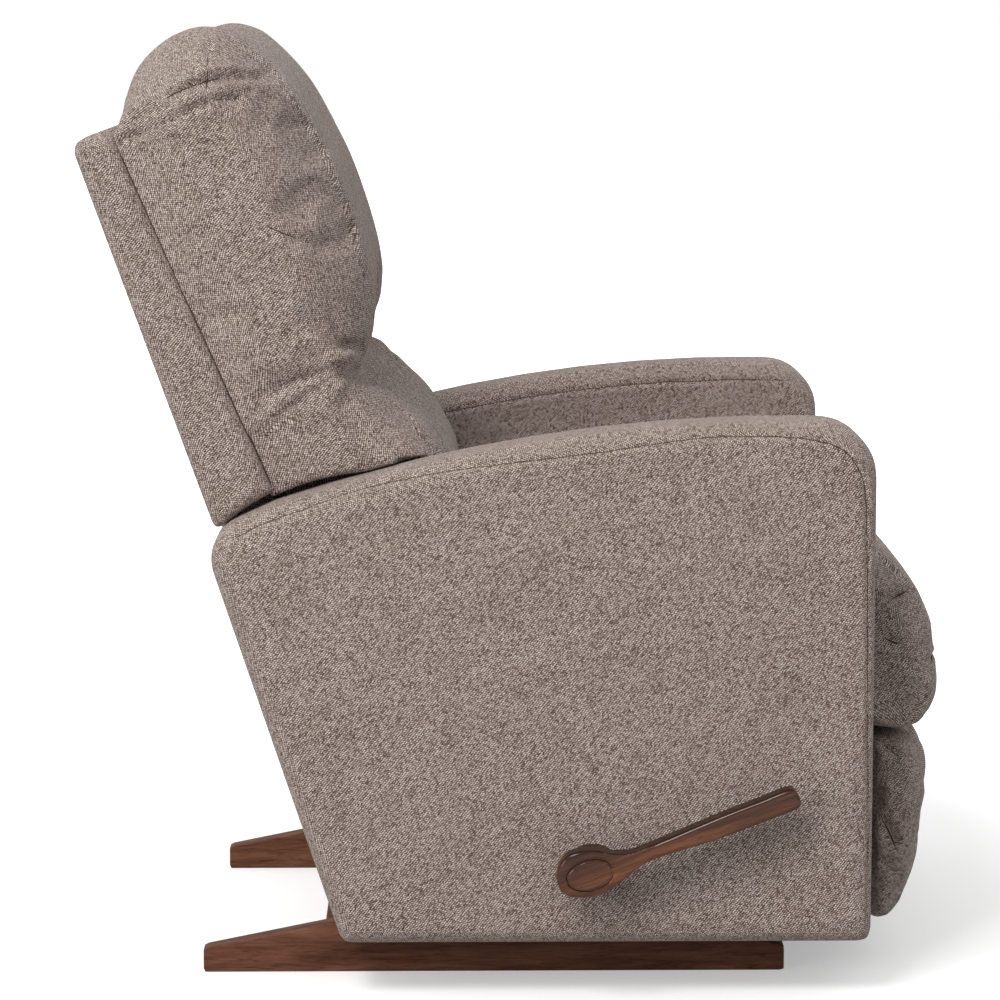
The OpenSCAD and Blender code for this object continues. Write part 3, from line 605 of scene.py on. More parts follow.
def twill():
    """Heathered twill: slanted ribs of light and dark yarn, each float with its own shade."""
    s = Shader("heathered_twill")
    uv = s.add("UVMap", uv_map="weave").outputs[0]
    mm = s.add("VectorMath", {0: uv, 3: 1000.0}, operation="SCALE").outputs[0]
    drift = s.add("TexNoise", {"Vector": mm, "Scale": 0.09, "Detail": 2.0}).outputs["Color"]
    shift = s.add("VectorMath", {0: drift, 1: (0.5, 0.5, 0.5)}, operation="SUBTRACT").outputs[0]
    moved = s.add("VectorMath", {0: shift, 1: (DRIFT, DRIFT, 0.0), 2: mm}, operation="MULTIPLY_ADD").outputs[0]
    u, v = s.add("SeparateXYZ", {0: moved}).outputs[:2]
    across = s.weighed(u, 0.77, v, 0.64)
    along = s.weighed(v, 0.77, u, -0.64)
    rib = s.math("SINE", s.math("MULTIPLY", across, 2 * math.pi / RIB))
    rib = s.math("ADD", s.math("MULTIPLY", rib, 0.5), 0.5)
    grid = s.add("CombineXYZ", {0: s.math("MULTIPLY", across, 1 / YARN_WIDE),
                                1: s.math("MULTIPLY", along, 1 / YARN_LONG)}).outputs[0]
    cell = s.add("TexVoronoi", {"Vector": grid, "Scale": 1.0, "Randomness": 0.7}, voronoi_dimensions="2D")
    shade = s.add("SeparateColor", {0: cell.outputs["Color"]}).outputs[0]
    stray = s.math("MULTIPLY", s.noise(mm, 0.35, 2.0, 0.6), 3.5)
    phase = s.weighed(along, 2 * math.pi / FLOAT, across, math.pi / 2.7)
    float_ends = s.math("MULTIPLY_ADD", s.math("SINE", s.math("ADD", phase, stray)), 0.5, 0.5)
    yarn = s.tones(shade, (0.0, 0.25, 0.55, 1.0), YARNS)
    colour = s.tint(yarn, rib, [(0.0, (0.27, 0.25, 0.24)), (0.33, (0.6, 0.58, 0.57)), (0.75, WHITE)])
    colour = s.tint(colour, float_ends, [(0.0, (0.32, 0.3, 0.29)), (0.55, (0.94, 0.935, 0.93)), (0.75, WHITE)])
    colour = s.tint(colour, s.noise(mm, 1.3, 3.0, 0.7), [(0.3, (0.78, 0.77, 0.76)), (0.7, WHITE)])
    colour = s.tint(colour, s.noise(mm, 0.012, 3.0, 0.6), [(0.3, (0.9, 0.885, 0.87)), (0.7, WHITE)])
    height = s.weighed(rib, 0.6, s.math("SUBTRACT", 0.7, cell.outputs["Distance"]), 0.6)
    s.set(Base_Color=colour, Roughness=0.92, Specular_IOR_Level=0.18, Sheen_Weight=0.12, Sheen_Roughness=0.5,
          Sheen_Tint=(0.9, 0.86, 0.82, 1))
    s.bump(height, 0.75, 0.0006)
    return s.mat


def spun(name, scale, tones, strength, **values):
    """Thread that shows its twist."""
    s = Shader(name)
    ply = s.noise(s.object_space(), scale)
    s.set(Base_Color=s.tones(ply, (0.3, 0.7), tones), **values)
    s.bump(ply, strength, 0.0002)
    return s.mat


def wood(name, tones, axis, rough, coat=0.0, turn=0.0, gloss=0.1, crown=None):
    """Grain that runs along an axis of the piece, with pores, streaks and a lacquer film. Faces that look
    up are darkened by crown, a painted shade standing for the dark reflection on a lacquered top."""
    s = Shader(name)
    squeeze = [2.5 if axis == k else 30.0 for k in "XYZ"]
    at = s.add("Mapping", {"Vector": s.object_space(), "Rotation": (turn, 0.0, 0.0)}).outputs[0]
    grain = s.add("Mapping", {"Vector": at, "Scale": squeeze}).outputs[0]
    warp = s.add("TexNoise", {"Vector": grain, "Scale": 1.2, "Detail": 3.0}).outputs["Color"]
    bent = s.add("VectorMath", {0: warp, 1: (0.7, 0.7, 0.7), 2: grain}, operation="MULTIPLY_ADD").outputs[0]
    figure = s.noise(bent, 2.2, 5.0, 0.6)
    streak = s.noise(bent, 11.0, 4.0, 0.7)
    fine = s.add("Mapping", {"Vector": at, "Scale": [v * 14 for v in squeeze]}).outputs[0]
    pore = s.noise(fine, 1.4, 2.0, 0.6)
    colour = s.tones(figure, (0.25, 0.5, 0.78), tones)
    colour = s.tint(colour, streak, [(0.3, (0.66, 0.62, 0.6)), (0.62, (1.12, 1.1, 1.08))])
    colour = s.tint(colour, pore, [(0.3, (0.6, 0.56, 0.54)), (0.44, WHITE)])
    # Painted shade: faces that look up are darkened, as a lacquered top shows a dark reflection
    if crown:
        up = s.add("SeparateXYZ", {0: s.add("TexCoord").outputs["Normal"]}).outputs[2]
        colour = s.tint(colour, up, [(0.45, WHITE), (0.85, (crown, crown, crown))])
    s.set(Base_Color=colour, Roughness=s.math("MULTIPLY_ADD", streak, 0.22, rough), Coat_Weight=coat,
          Coat_Roughness=0.03, Specular_IOR_Level=gloss)
    s.bump(s.weighed(pore, 0.6, streak, 0.4), 0.25, 0.0004)
    return s.mat


def steel(name, colour, rough, metal):
    s = Shader(name)
    at = s.object_space()
    brush = s.noise(s.add("Mapping", {"Vector": at, "Scale": (900.0, 60.0, 60.0)}).outputs[0], 1.0, 3.0)
    stain = s.noise(at, 18.0, 4.0, 0.6)
    pale = [min(1, c * 1.5) for c in colour]
    s.set(Base_Color=s.ramp(stain, [(0.3, colour), (0.75, pale)]), Metallic=metal,
          Roughness=s.math("MULTIPLY_ADD", brush, 0.25, rough))
    s.bump(brush, 0.12, 0.0002)
    return s.mat


def webbing():
    s = Shader("woven_webbing")
    wave = {"Vector": s.object_space(), "Scale": 260.0, "Distortion": 0.4}
    a, b = (s.add("TexWave", wave, bands_direction=k).outputs[1] for k in "XZ")
    w = s.math("MULTIPLY", a, b)
    s.set(Base_Color=s.tones(w, (0.1, 0.8), ((26, 22, 20), (84, 76, 68))), Roughness=0.9, Sheen_Weight=0.2)
    s.bump(w, 0.6, 0.0005)
    return s.mat


WALNUT_TONES = (62, 35, 23), (104, 68, 52), (132, 92, 72)
POPLAR_TONES = (150, 118, 78), (188, 156, 112), (206, 178, 136)
TWILL = twill()
THREAD = spun("stitch_thread", 900.0, ((150, 130, 116), (198, 178, 162)), 0.4, Roughness=0.7, Sheen_Weight=0.2)
# Dark thread for the cords that paint the shade in seams, creases and crevices
SEAM_SHADE = spun("painted_seam_shade", 700.0, ((52, 40, 34), (84, 68, 59)), 0.3, Roughness=0.9, Specular_IOR_Level=0.1)
WALNUT = wood("dark_walnut", WALNUT_TONES, "Y", 0.5)
WALNUT_X = wood("dark_walnut_cross", WALNUT_TONES, "X", 0.5)
# The lever's top faces get painted shade through crown
LEVER_WOOD = wood("lacquered_lever_wood", ((30, 11, 4), (74, 39, 18), (122, 72, 38)), "Y", 0.34, coat=0.45,
                  turn=math.radians(20), gloss=0.03, crown=0.45)
# Near-black wood for the painted shade in the lever's groove
GROOVE_SHADE_WOOD = wood("painted_groove_shade_wood", ((14, 6, 3), (24, 11, 6), (38, 19, 11)), "Y", 0.6)
POPLAR = wood("raw_frame_wood", POPLAR_TONES, "Y", 0.62)
POPLAR_X = wood("raw_cross_wood", POPLAR_TONES, "X", 0.62)
BLACK = steel("black_mechanism_steel", (0.028, 0.028, 0.031), 0.38, 0.75)
SPRING = steel("spring_steel", (0.30, 0.30, 0.31), 0.3, 1.0)
SLOT_LOOK = {"walnut": WALNUT, "lever_wood": LEVER_WOOD, "frame_wood": POPLAR, "mechanism_steel": BLACK,
             "spring_steel": SPRING, "webbing": webbing(), "upholstery": TWILL}
CROSS_LOOK = {"walnut": WALNUT_X, "frame_wood": POPLAR_X}
LIE_ACROSS = "cross", "front_rail", "rear_rail", "top_rail", "lower_rail", "board"
for part in frame["record"]["subparts"]:
    node, slot = frame["nodes"][part["node"]], part["material_slot"]
    look = SLOT_LOOK[slot]
    if any(word in part["node"] for word in LIE_ACROSS):
        look = CROSS_LOOK.get(slot, look)
    node.data.materials.clear()
    node.data.materials.append(look)


def dress(o, body, outline, nodes, panel=19):
    """Finishes an upholstered piece."""
    weave(o, outline, panel)
    o.data.materials.clear()
    o.data.materials.append(TWILL)
    smooth(o)
    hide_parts(*nodes)
    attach(o, body)


# ------------ arms
ARM_OUT, ARM_IN, EDGE = -400, -285, 24
ARM_FRONT, ARM_FOOT, ARM_TAIL = -401, 62, 516
REAR_FOOT, REAR_LEAN = 190, math.radians(18.5)
CROWN, CROWN_Y, CROWN_FLAT = 643.5, -305, 3480  # the top's height, where it is highest, and its curve


def arm_rear(z, inset):
    return REAR_FOOT + (z - ARM_FOOT) * math.tan(REAR_LEAN) - inset / math.cos(REAR_LEAN)


def arm_top(y, inset):
    return CROWN - inset - (y - CROWN_Y) ** 2 / CROWN_FLAT


def arm_outline(inset):
    front, bottom, tail_z = ARM_FRONT + inset, ARM_FOOT + inset, ARM_TAIL - inset
    tail, head = (arm_rear(tail_z, inset), tail_z), (front, arm_top(front, inset))
    low, toe = (arm_rear(bottom, inset), bottom), (front, bottom)
    foot = max(12 - inset, 2)
    crown = [(y, arm_top(y, inset)) for y in np.linspace(tail[0] - 75, front + 80, 9)]
    return (corner_arc(head, toe, low, foot) + corner_arc(toe, low, tail, foot)
            + corner_arc(low, tail, crown[0], max(40 - inset, 8)) + crown
            + corner_arc(crown[-1], head, toe, max(56 - inset, 14)))


def arm(side, lines=None):
    """An upholstered arm. lines are its seams where the photograph shows them, which it returns."""
    sgn = SIGN[side]
    rings = [(x, even(arm_outline(inset), 320)) for x, inset in rounding(EDGE, EDGE)]
    xs = [(ARM_OUT + x, o) for x, o in rings] + [(ARM_IN - x, o) for x, o in reversed(rings)]
    o = loft("arm_upholstery_" + side, [ring(-sgn * x, out) for x, out in xs])
    remesh(o, 5.5)
    subdivide(o)
    p, n = local(o), vertex_data(o, "normal")
    # The side panels are padded, so they stand a little proud in the middle
    depth = np.minimum.reduce([p[:, 1] - ARM_FRONT, p[:, 2] - ARM_FOOT, arm_top(p[:, 1], 0) - p[:, 2],
                               arm_rear(p[:, 2], 0) - p[:, 1]])
    outer = np.clip(n[:, 0] * sgn, 0, 1) ** 4
    p[:, 0] += sgn * outer * ease((depth - 20) / 150) * 3.0
    # The top is stuffed too, and stands highest along its middle
    middle, half = -(ARM_OUT + ARM_IN) / 2, (ARM_IN - ARM_OUT) / 2
    over = np.clip(1 - ((np.abs(p[:, 0]) - middle) / half) ** 2, 0, 1)
    p[:, 2] += 4.0 * over * np.clip(n[:, 2], 0, 1) * ease((p[:, 1] - ARM_FRONT) / 60)
    put(o, framed(p))
    if lines is None:
        tree = bvh(o)
        lines = {
            "top": traced(tree, [(228, 541), (262, 524), (300, 510), (360, 489), (450, 470.5), (590, 453.5),
                                 (685, 439.5), (743, 436), (800, 438), (838, 447), (857, 466), (866, 495),
                                 (868, 560)]),
            "front": traced(tree, [(868, 545), (868, 700), (868.5, 820), (867, 915)]),
            "hem": traced(tree, [(352, 931.5), (500, 932), (700, 932), (856, 932)])}
    groove(o, lines["top"], 1.6, 3.2, 0.7, pucker=0.3)
    groove(o, lines["front"], 1.8, 2.6, 0.9, pucker=0.4)
    inner = laid(bvh(o), [(sgn * 291, y, arm_top(y, 0) - 20) for y in np.linspace(250, -370, 30)])
    groove(o, inner, 1.6, 3.2, 0.7, pucker=0.3)
    tree = bvh(o)
    sewn = [beside(tree, line) for line in (lines["top"], lines["front"], inner)]
    rows = [beside(tree, lines["front"], 2.4), beside(tree, lines["front"], -2.4), beside(tree, lines["hem"])]
    # Painted shade: dark cords along the seams
    shade_cord("arm_seam_shade_" + side, sewn, "chassis", 0.7)
    dress(o, "chassis", even(arm_outline(0), 160), ["arm_cover_" + side])
    stitches("arm_stitches_" + side, rows, "chassis")
    return lines


ARM_LINES = arm("right")
arm("left", {key: other_side(line) for key, line in ARM_LINES.items()})

# ------------ back
FOOT, LEAN = np.array((330.0, 523.0)), math.radians(19.8)
UP = np.array((math.sin(LEAN), math.cos(LEAN)))
FWD = np.array((-math.cos(LEAN), math.sin(LEAN)))
BACK = 456.0  # from the foot of the back to its top
BAND_LOW, BAND_HIGH = 76, 47  # depth of the side bands at the foot and at the top
HINGE, SWING = np.array((150.0, 330.0)), 260.5  # the bands' lower ends run round the back's pivot


def on_back(s, t):
    """The (y, z) of a point s mm up the back and t mm in front of its rear face."""
    return tuple(FOOT + s * UP + t * FWD)


def back_outline(corners, radii, n):
    return even(rounded([on_back(*c) for c in corners], radii), n)


def band_front(s):
    return BAND_LOW + (BAND_HIGH - BAND_LOW) * s / BACK


def band_outline(inset):
    r = SWING + inset
    around = lambda a: tuple(HINGE + r * np.array((math.cos(a), math.sin(a))))
    start, end = math.acos((264 + inset - HINGE[0]) / r), math.acos(((HINGE - FOOT) @ FWD - inset) / r) - LEAN
    arc = [around(a) for a in np.linspace(start, end + math.radians(3), 7)]
    heel, top_rear = around(end), on_back(BACK - inset, inset)
    top_front = on_back(BACK - 8 - inset, BAND_HIGH - inset)
    return (arc + corner_arc(arc[-1], heel, top_rear, 6)
            + corner_arc(heel, top_rear, top_front, max(14 - inset, 2))
            + corner_arc(top_rear, top_front, arc[0], max(10 - inset, 2)))


def wing(side):
    """A side band of the back, with the cloth tucked in beside the seat."""
    sgn = SIGN[side]
    rings = [ring(sgn * (350 - x), even(band_outline(inset), 240)) for x, inset in rounding(12, 11)]
    rings += [ring(sgn * x, even(band_outline(inset), 240)) for x, inset in ((262, 0), (253, 3))]
    tuck = back_outline([(-176, 9), (30, 9), (60, 60), (-20, 72), (-140, 92), (-172, 84)],
                        [4, 6, 6, 20, 12, 8], 160)
    tuck_rings = [ring(sgn * x, tuck) for x in (283, 282.5, 274.5, 274)]
    o = join("back_band_" + side, [loft("band", rings), loft("tuck", tuck_rings)])
    remesh(o, 4.5)
    subdivide(o)
    dress(o, "back", even(band_outline(0), 120), ["back_wing_" + side])
    return o


WINGS = {side: bvh(wing(side)) for side in SIGN}


def back_panel():
    """The outside back: a flat cloth panel between the side bands, turned over the top rail."""
    hem, thick, half = -186, 8, 254
    turned = [(BACK - 2, 44), (BACK - 16, 46), (BACK - 16, 12)]
    upper = back_outline([(-60, 0), (BACK - 10, 0), (BACK - 2, 3), *turned, (-60, thick)],
                         [3, 8, 6, 6, 4, 4, 3], 260)
    skirt = back_outline([(hem, 0), (-10, 0), (-10, thick), (hem, thick)], [3, 3, 3, 3], 200)
    outline = back_outline([(hem, 0), (BACK - 2, 0), *turned, (hem, thick)], [3, 5, 6, 6, 4, 3], 300)
    o = join("outside_back_panel", [loft("upper", [ring(x, upper) for x in (-half, 1 - half, half - 1, half)]),
                                    loft("skirt", [ring(x, skirt) for x in (-270, -269, 269, 270)])])
    remesh(o, 5)
    p = local(o)
    d = p[:, 1:] - FOOT
    wave = np.cos(np.clip(p[:, 0] / half, -1, 1) * math.pi / 2) ** 0.5
    bulge = 4.0 * wave * ease((d @ UP - hem) / 200) * ease((BACK - d @ UP) / 120)
    p[:, 1:] -= np.where(d @ FWD < 6, bulge, 0)[:, None] * FWD
    put(o, framed(p))
    dress(o, "back", outline, ["back_cover"])


back_panel()

# Back cushion and lumbar roll, sewn as one cover with a pulled-in seam between them
HEAD = [(306, 640), (356, 755), (403, 866), (433, 944), (430, 984), (417, 1020), (398, 1046), (369, 1067),
        (338, 1077), (309, 1061), (279, 1035), (250, 1001), (225, 957), (202, 911), (182, 856), (167, 802),
        (162, 757), (164, 729), (172, 702), (192, 678), (240, 648)]
LUMBAR = [(322, 700), (262, 728), (205, 710), (172, 686), (151, 664), (128, 640), (108, 621), (91, 599),
          (74, 568), (65, 526), (66, 498), (76, 470), (90, 446), (130, 434), (180, 440), (236, 480), (264, 540),
          (292, 612)]
HEAD_SEAM = [(121, 141), (156, 127), (181, 115.5), (203, 103.6), (213, 100), (239, 99)]
HEAD_FOLD = [(166, 99), (180, 91), (207, 81.3), (232, 76.5), (264, 78)]
FRONT_SEAM = [(208, 40), (207, 80), (205, 105), (216, 172), (232, 220), (254, 293), (264, 332), (274, 356)]
DIMPLE = [(258, 221), (275, 229), (300, 240), (331, 246)]
WAIST = [(255, 402), (276, 391), (296, 382.7), (325, 371.5), (341, 365), (352, 363)]
WRINKLES = [([(318, 352), (340, 348), (362, 346), (378, 343)], 3.0), ([(322, 374), (350, 378), (378, 382)], 3.0),
            ([(318, 378), (338, 396), (356, 424), (362, 446)], 2.8), ([(286, 330), (300, 352), (322, 366)], 2.2),
            ([(330, 300), (338, 328), (348, 350)], 2.2), ([(372, 300), (372, 322), (366, 342)], 2.4),
            ([(150, 150), (172, 144), (200, 147)], 1.6), ([(214, 120), (236, 124), (262, 136)], 1.6),
            ([(240, 300), (262, 318), (280, 342)], 1.6)]
BACK_FOLDS = [[(160, 102), (180, 91), (207, 81.3), (224, 78)], [(262, 224), (280, 232), (300, 240)],
              [(330, 372), (341, 365), (350, 358)]]


def before_band(o):
    """Keeps an outline in front of the side band, which it is sewn into by 5 mm."""
    d = o - FOOT
    s, t = d @ UP, d @ FWD
    t = np.where(s > BACK + 6, t, np.maximum(t, band_front(s) - 5.0))
    return FOOT + s[:, None] * UP + t[:, None] * FWD


def ahead_of_band(o):
    """How far points of a side outline stand in front of the side band."""
    return (o - FOOT) @ FWD - band_front((o - FOOT) @ UP)


def pillow_rings(outline, half, round_w, draw, hold, crown=4.0, lead=None):
    """Rings of a stuffed shape whose outline draws in towards its sides like a quarter of an oval. lead
    weighs the draw along the outline, and hold keeps a ring off its neighbours."""
    power, steps = 2.2, 22
    out = outward(outline)
    if lead is not None:
        out = out * lead(outline)[:, None]
    flat = half - round_w
    mid = [(x, outline + out * crown * (1 - (x / half) ** 2)) for x in np.linspace(0, flat, 6)[1:-1]]
    edge = []
    for x in half - round_w * (1 - np.sin(np.linspace(0, 1, steps) * math.pi / 2)):
        k = max(0.0, (x - flat) / round_w)
        pull = draw * (1 - (1 - k ** power) ** (1 / power))
        edge.append((x, outline + out * (crown * (1 - (x / half) ** 2) - pull)))
    rings = mid + edge
    full = [(-x, o) for x, o in reversed(rings)] + [(0, outline + out * crown)] + rings
    return [ring(x, hold(x, o)) for x, o in full]


def lumbar_hold(x, o):
    """Lets the lumbar roll rest on the arms' rounded inner edges and on the bands' lower ends."""
    o = o.copy()
    if abs(x) > 276:
        into = min(max(abs(x) + ARM_IN, 0), EDGE)
        lift = arm_top(o[:, 0], 0) + 5 - (EDGE - math.sqrt(EDGE ** 2 - (EDGE - into) ** 2))
        d = o - HINGE
        arc = HINGE[1] + np.sqrt(np.maximum(255.0 ** 2 - d[:, 0] ** 2, 0))
        inside = np.hypot(d[:, 0], d[:, 1]) < 255
        o[:, 1] = np.maximum(o[:, 1], np.maximum(lift, np.where(inside, arc, 0)))
    return before_band(o)


def band_joint_shades(pillow):
    """Painted shade where the pillow meets each side band: a dark cord in the crevice, found by looking in from the
    side.
    """
    joints = []
    for side, sgn in SIGN.items():
        line = []
        for reach in np.arange(-20, BACK - 14, 6):
            row = []
            for off in np.arange(-10, 7, 1.5):
                start = place(sgn * 380, *on_back(reach, band_front(reach) + off))
                hits = [tree.ray_cast(start, Vector((-sgn, 0, 0)))[0] for tree in (pillow, WINGS[side])]
                hits = [hit for hit in hits if hit is not None]
                if hits:
                    row.append(min(hits, key=lambda h: -sgn * h.x))
            if row:
                line.append(max(row, key=lambda h: -sgn * h.x))
        p = np.array([tuple(h) for h in line])
        p[1:-1] = (p[:-2] + p[1:-1] + p[2:]) / 3
        joints.append([(tuple(v), (sgn, 0, 0)) for v in p])
    # A dark cord painted as the shade of the crevice
    shade_cord("back_band_joint_shade", joints, "back", 1.0, 0.2)


def back_pillow():
    head_lead = lambda o: ease(ahead_of_band(o) / 70) * np.where((o[:, 1] < 722) & (o[:, 0] > 150), 0.3, 1.0)
    roll_lead = lambda o: ease(ahead_of_band(o) / 60) * np.where(o[:, 1] > 690, 0.3, 1.0)
    head = pillow_rings(spline(HEAD, 9), 344, 95, 86, lambda x, o: before_band(o), lead=head_lead)
    roll = pillow_rings(spline(LUMBAR, 9), 338, 70, 52, lumbar_hold, lead=roll_lead)
    o = join("back_pillow", [loft("head", head), loft("wide", roll)])
    remesh(o, 7)
    tree = bvh(o)
    notch = traced(tree, [(276, 392), (296, 383), (325, 371.5), (341, 365), (360, 363.5)])
    pins = [crossing(tree, 325, 10, 160, 695), *both_sides(notch)]

    def pinned(p):
        wide, up = np.abs(p[:, 0]), (p[:, 1:] - FOOT) @ UP
        sewn = np.where(up < BACK + 4, 1 - np.clip((ahead_of_band(p[:, 1:]) - 4) / 12, 0, 1), 0)
        on_arm = ((wide > 276) & (p[:, 2] < arm_top(p[:, 1], 0) + 24)) | ((wide > 262) & (p[:, 2] < 640))
        return np.maximum.reduce([held(p, pins, 4, 10), sewn, on_arm])

    inflate(o, pinned, cap=9)
    subdivide(o)
    tree = bvh(o)
    press(o, tree, HEAD_SEAM, 3.2, 4.0, 1.4, pucker=0.3)
    press(o, tree, HEAD_FOLD, 7.0, 5.5, 3.0, fade=0.3)
    press(o, tree, FRONT_SEAM, 1.5, 3.4, 0.9, pucker=0.4)
    press(o, tree, DIMPLE, 2.6, 7.0, 1.5, fade=0.5)
    press(o, tree, WAIST, 5.5, 6.0, 1.0, fade=0.4)
    for pts, deep in WRINKLES:
        press(o, tree, pts, deep, 6.5, deep * 0.4, step=4, fade=0.5)
    tree = bvh(o)
    # Painted shade: dark cords along the seams and in the folds
    sewn = [beside(tree, line) for pts in (HEAD_SEAM, [(208, 44), *FRONT_SEAM[1:3]], WAIST[:5])
            for line in both_sides(traced(tree, pts))]
    shade_cord("back_pillow_seam_shade", sewn, "back", 0.6)
    crease_shades(tree, "back_pillow_crease_shade", "back", BACK_FOLDS)
    band_joint_shades(tree)
    dress(o, "back", spline(HEAD[:-5] + LUMBAR[6:], 12), ["back_cushion", "lumbar_cushion"], 70)


back_pillow()

# ------------ seat
SEAT = [(62, 336), (80, 400), (74, 458), (30, 489), (-90, 493), (-200, 494), (-320, 495), (-385, 493), (-409, 486),
        (-430, 463), (-452, 439), (-470, 413), (-481, 385), (-485, 350), (-484, 322), (-477, 299), (-462, 283),
        (-430, 281), (-398, 292), (-376, 318), (-374, 336), (-250, 336), (-100, 336)]
SEAT_FOLDS = [(883, 603), (894, 598), (914, 587)], [(883, 636), (892, 642), (905, 644)]
DECK = 336  # the seat rests on its springs at this height


def seat_hold(x, o):
    o = o.copy()
    behind = o[:, 0] > -370
    o[behind, 1] = np.maximum(o[behind, 1], DECK)
    return o


def seat():
    lead = lambda o: np.where(o[:, 1] < DECK + 4, 0.4, np.where(o[:, 0] > 20, 0.3, 1.0))
    o = loft("seat_cushion_cover", pillow_rings(spline(SEAT, 9), 280, 60, 30, seat_hold, crown=5, lead=lead))
    remesh(o, 7)
    tree = bvh(o)
    pins = [crossing(tree, 262, 12, -478, 362), crossing(tree, 262, 12, -392, 494)]

    def pinned(p):
        resting = (p[:, 2] < DECK + 6) & (p[:, 1] > -376)
        sides = np.where(np.abs(p[:, 0]) > 277, 0.6, 0)
        return np.maximum.reduce([resting, held(p, pins, 3, 9), sides])

    inflate(o, pinned, cap=8)
    p = local(o)
    # The legrest's links swing up past the sides of the front roll, so it is a little narrower there
    reach = 283 - 9 * ease((352 - p[:, 2]) / 22) * ease((-412 - p[:, 1]) / 18)
    p[:, 0] = np.clip(p[:, 0], -reach, reach)
    put(o, framed(p))
    subdivide(o)
    tree = bvh(o)
    groove(o, crossing(tree, 276, 8, -482, 362), 3.0, 3.2, 1.2, pucker=0.4)
    groove(o, crossing(tree, 276, 8, -392, 500), 2.4, 3.4, 1.2, pucker=0.4)
    for pts, deep in ((SEAT_FOLDS[0], 8.0), (SEAT_FOLDS[1], 6.0), ([(880, 560), (896, 572), (908, 585)], 2.4),
                      ([(884, 668), (896, 660), (912, 656)], 2.6)):
        press(o, tree, pts, deep, 5.0, deep * 0.35, step=4, fade=0.5)
    tree = bvh(o)
    front, top = crossing(tree, 272, 5, -484, 362), crossing(tree, 272, 5, -392, 500)
    dress(o, "seat", spline(SEAT[:18], 9), ["seat_cushion"], 34)
    # Painted shade: dark cords in the folds and along the seams
    crease_shades(tree, "seat_crease_shade", "seat", SEAT_FOLDS, 1.2)
    shade_cord("seat_seam_shade", [beside(tree, front), beside(tree, top)], "seat", 0.7)
    stitches("seat_stitches", [beside(tree, front, 4.2), beside(tree, front, -4.2)], "seat")


seat()

# ------------ legrest pad
PAD = [(-408, 72), (-408, 140), (-408, 200), (-408, 261), (-430, 272), (-451, 274), (-466, 263), (-473, 243),
       (-475, 215), (-472, 178), (-466, 145), (-457, 112), (-446, 84), (-436, 60), (-419, 54)]
PAD_FOLDS = [(880, 816), (890, 834), (897, 852)], [(884, 744), (895, 754), (903, 758)]
PAD_REAR = -408


def pad():
    outline = spline(PAD, 8)
    hold = lambda x, o: np.c_[np.minimum(o[:, 0], PAD_REAR), o[:, 1]]
    o = loft("legrest_pad_cover", pillow_rings(outline, 277, 50, 24, hold))
    remesh(o, 6)
    quilt = crossing(bvh(o), 255, 12, -470, 178)
    inflate(o, lambda p: np.maximum(p[:, 1] > PAD_REAR - 4, 0.8 * held(p, [quilt], 3, 8)), cap=6)
    p = local(o)
    p[:, 1] = np.minimum(p[:, 1], PAD_REAR)
    p[:, 0] = np.clip(p[:, 0], -283, 283)
    put(o, framed(p))
    subdivide(o)
    tree = bvh(o)
    for pts in PAD_FOLDS:
        press(o, tree, pts, 4.5, 6.0, 1.5, step=5, fade=0.5)
    # Painted shade: dark cords in the folds
    crease_shades(bvh(o), "legrest_crease_shade", "legrest", PAD_FOLDS, 1.1)
    dress(o, "legrest", outline, ["legrest_cushion", "legrest_board"], 30)


pad()


# ------------ panel between the arms at the rear
def lower_panel():
    corners = [(arm_rear(z, inset), z) for z, inset in ((136, 26), (338, 26), (338, 35), (136, 35))]
    outline = even(rounded(corners, [4, 5, 5, 4]), 160)
    o = loft("lower_back_panel", [ring(x, outline) for x in (-286, -284, 284, 286)])
    remesh(o, 5)
    dress(o, "chassis", outline, ["rear_panel"])


lower_panel()


# ------------ lever
LEVER_FACE, LEVER_THICK = -452, 27
LEVER_EDGE = [(559, 888), (557, 878), (559.5, 866), (567.5, 856.5), (580, 852), (597, 851.5), (615, 854.5),
              (632, 853.5), (650, 846.5), (672, 837.5), (700, 825.5), (730, 813), (760, 801.5), (788, 790.5),
              (797, 793), (801.5, 805), (794, 811.5), (757, 825.5), (720, 839.5), (683, 851), (655, 860),
              (638, 869), (625, 880), (611, 890.5), (594, 898), (577, 898.5), (563.5, 894.5)]


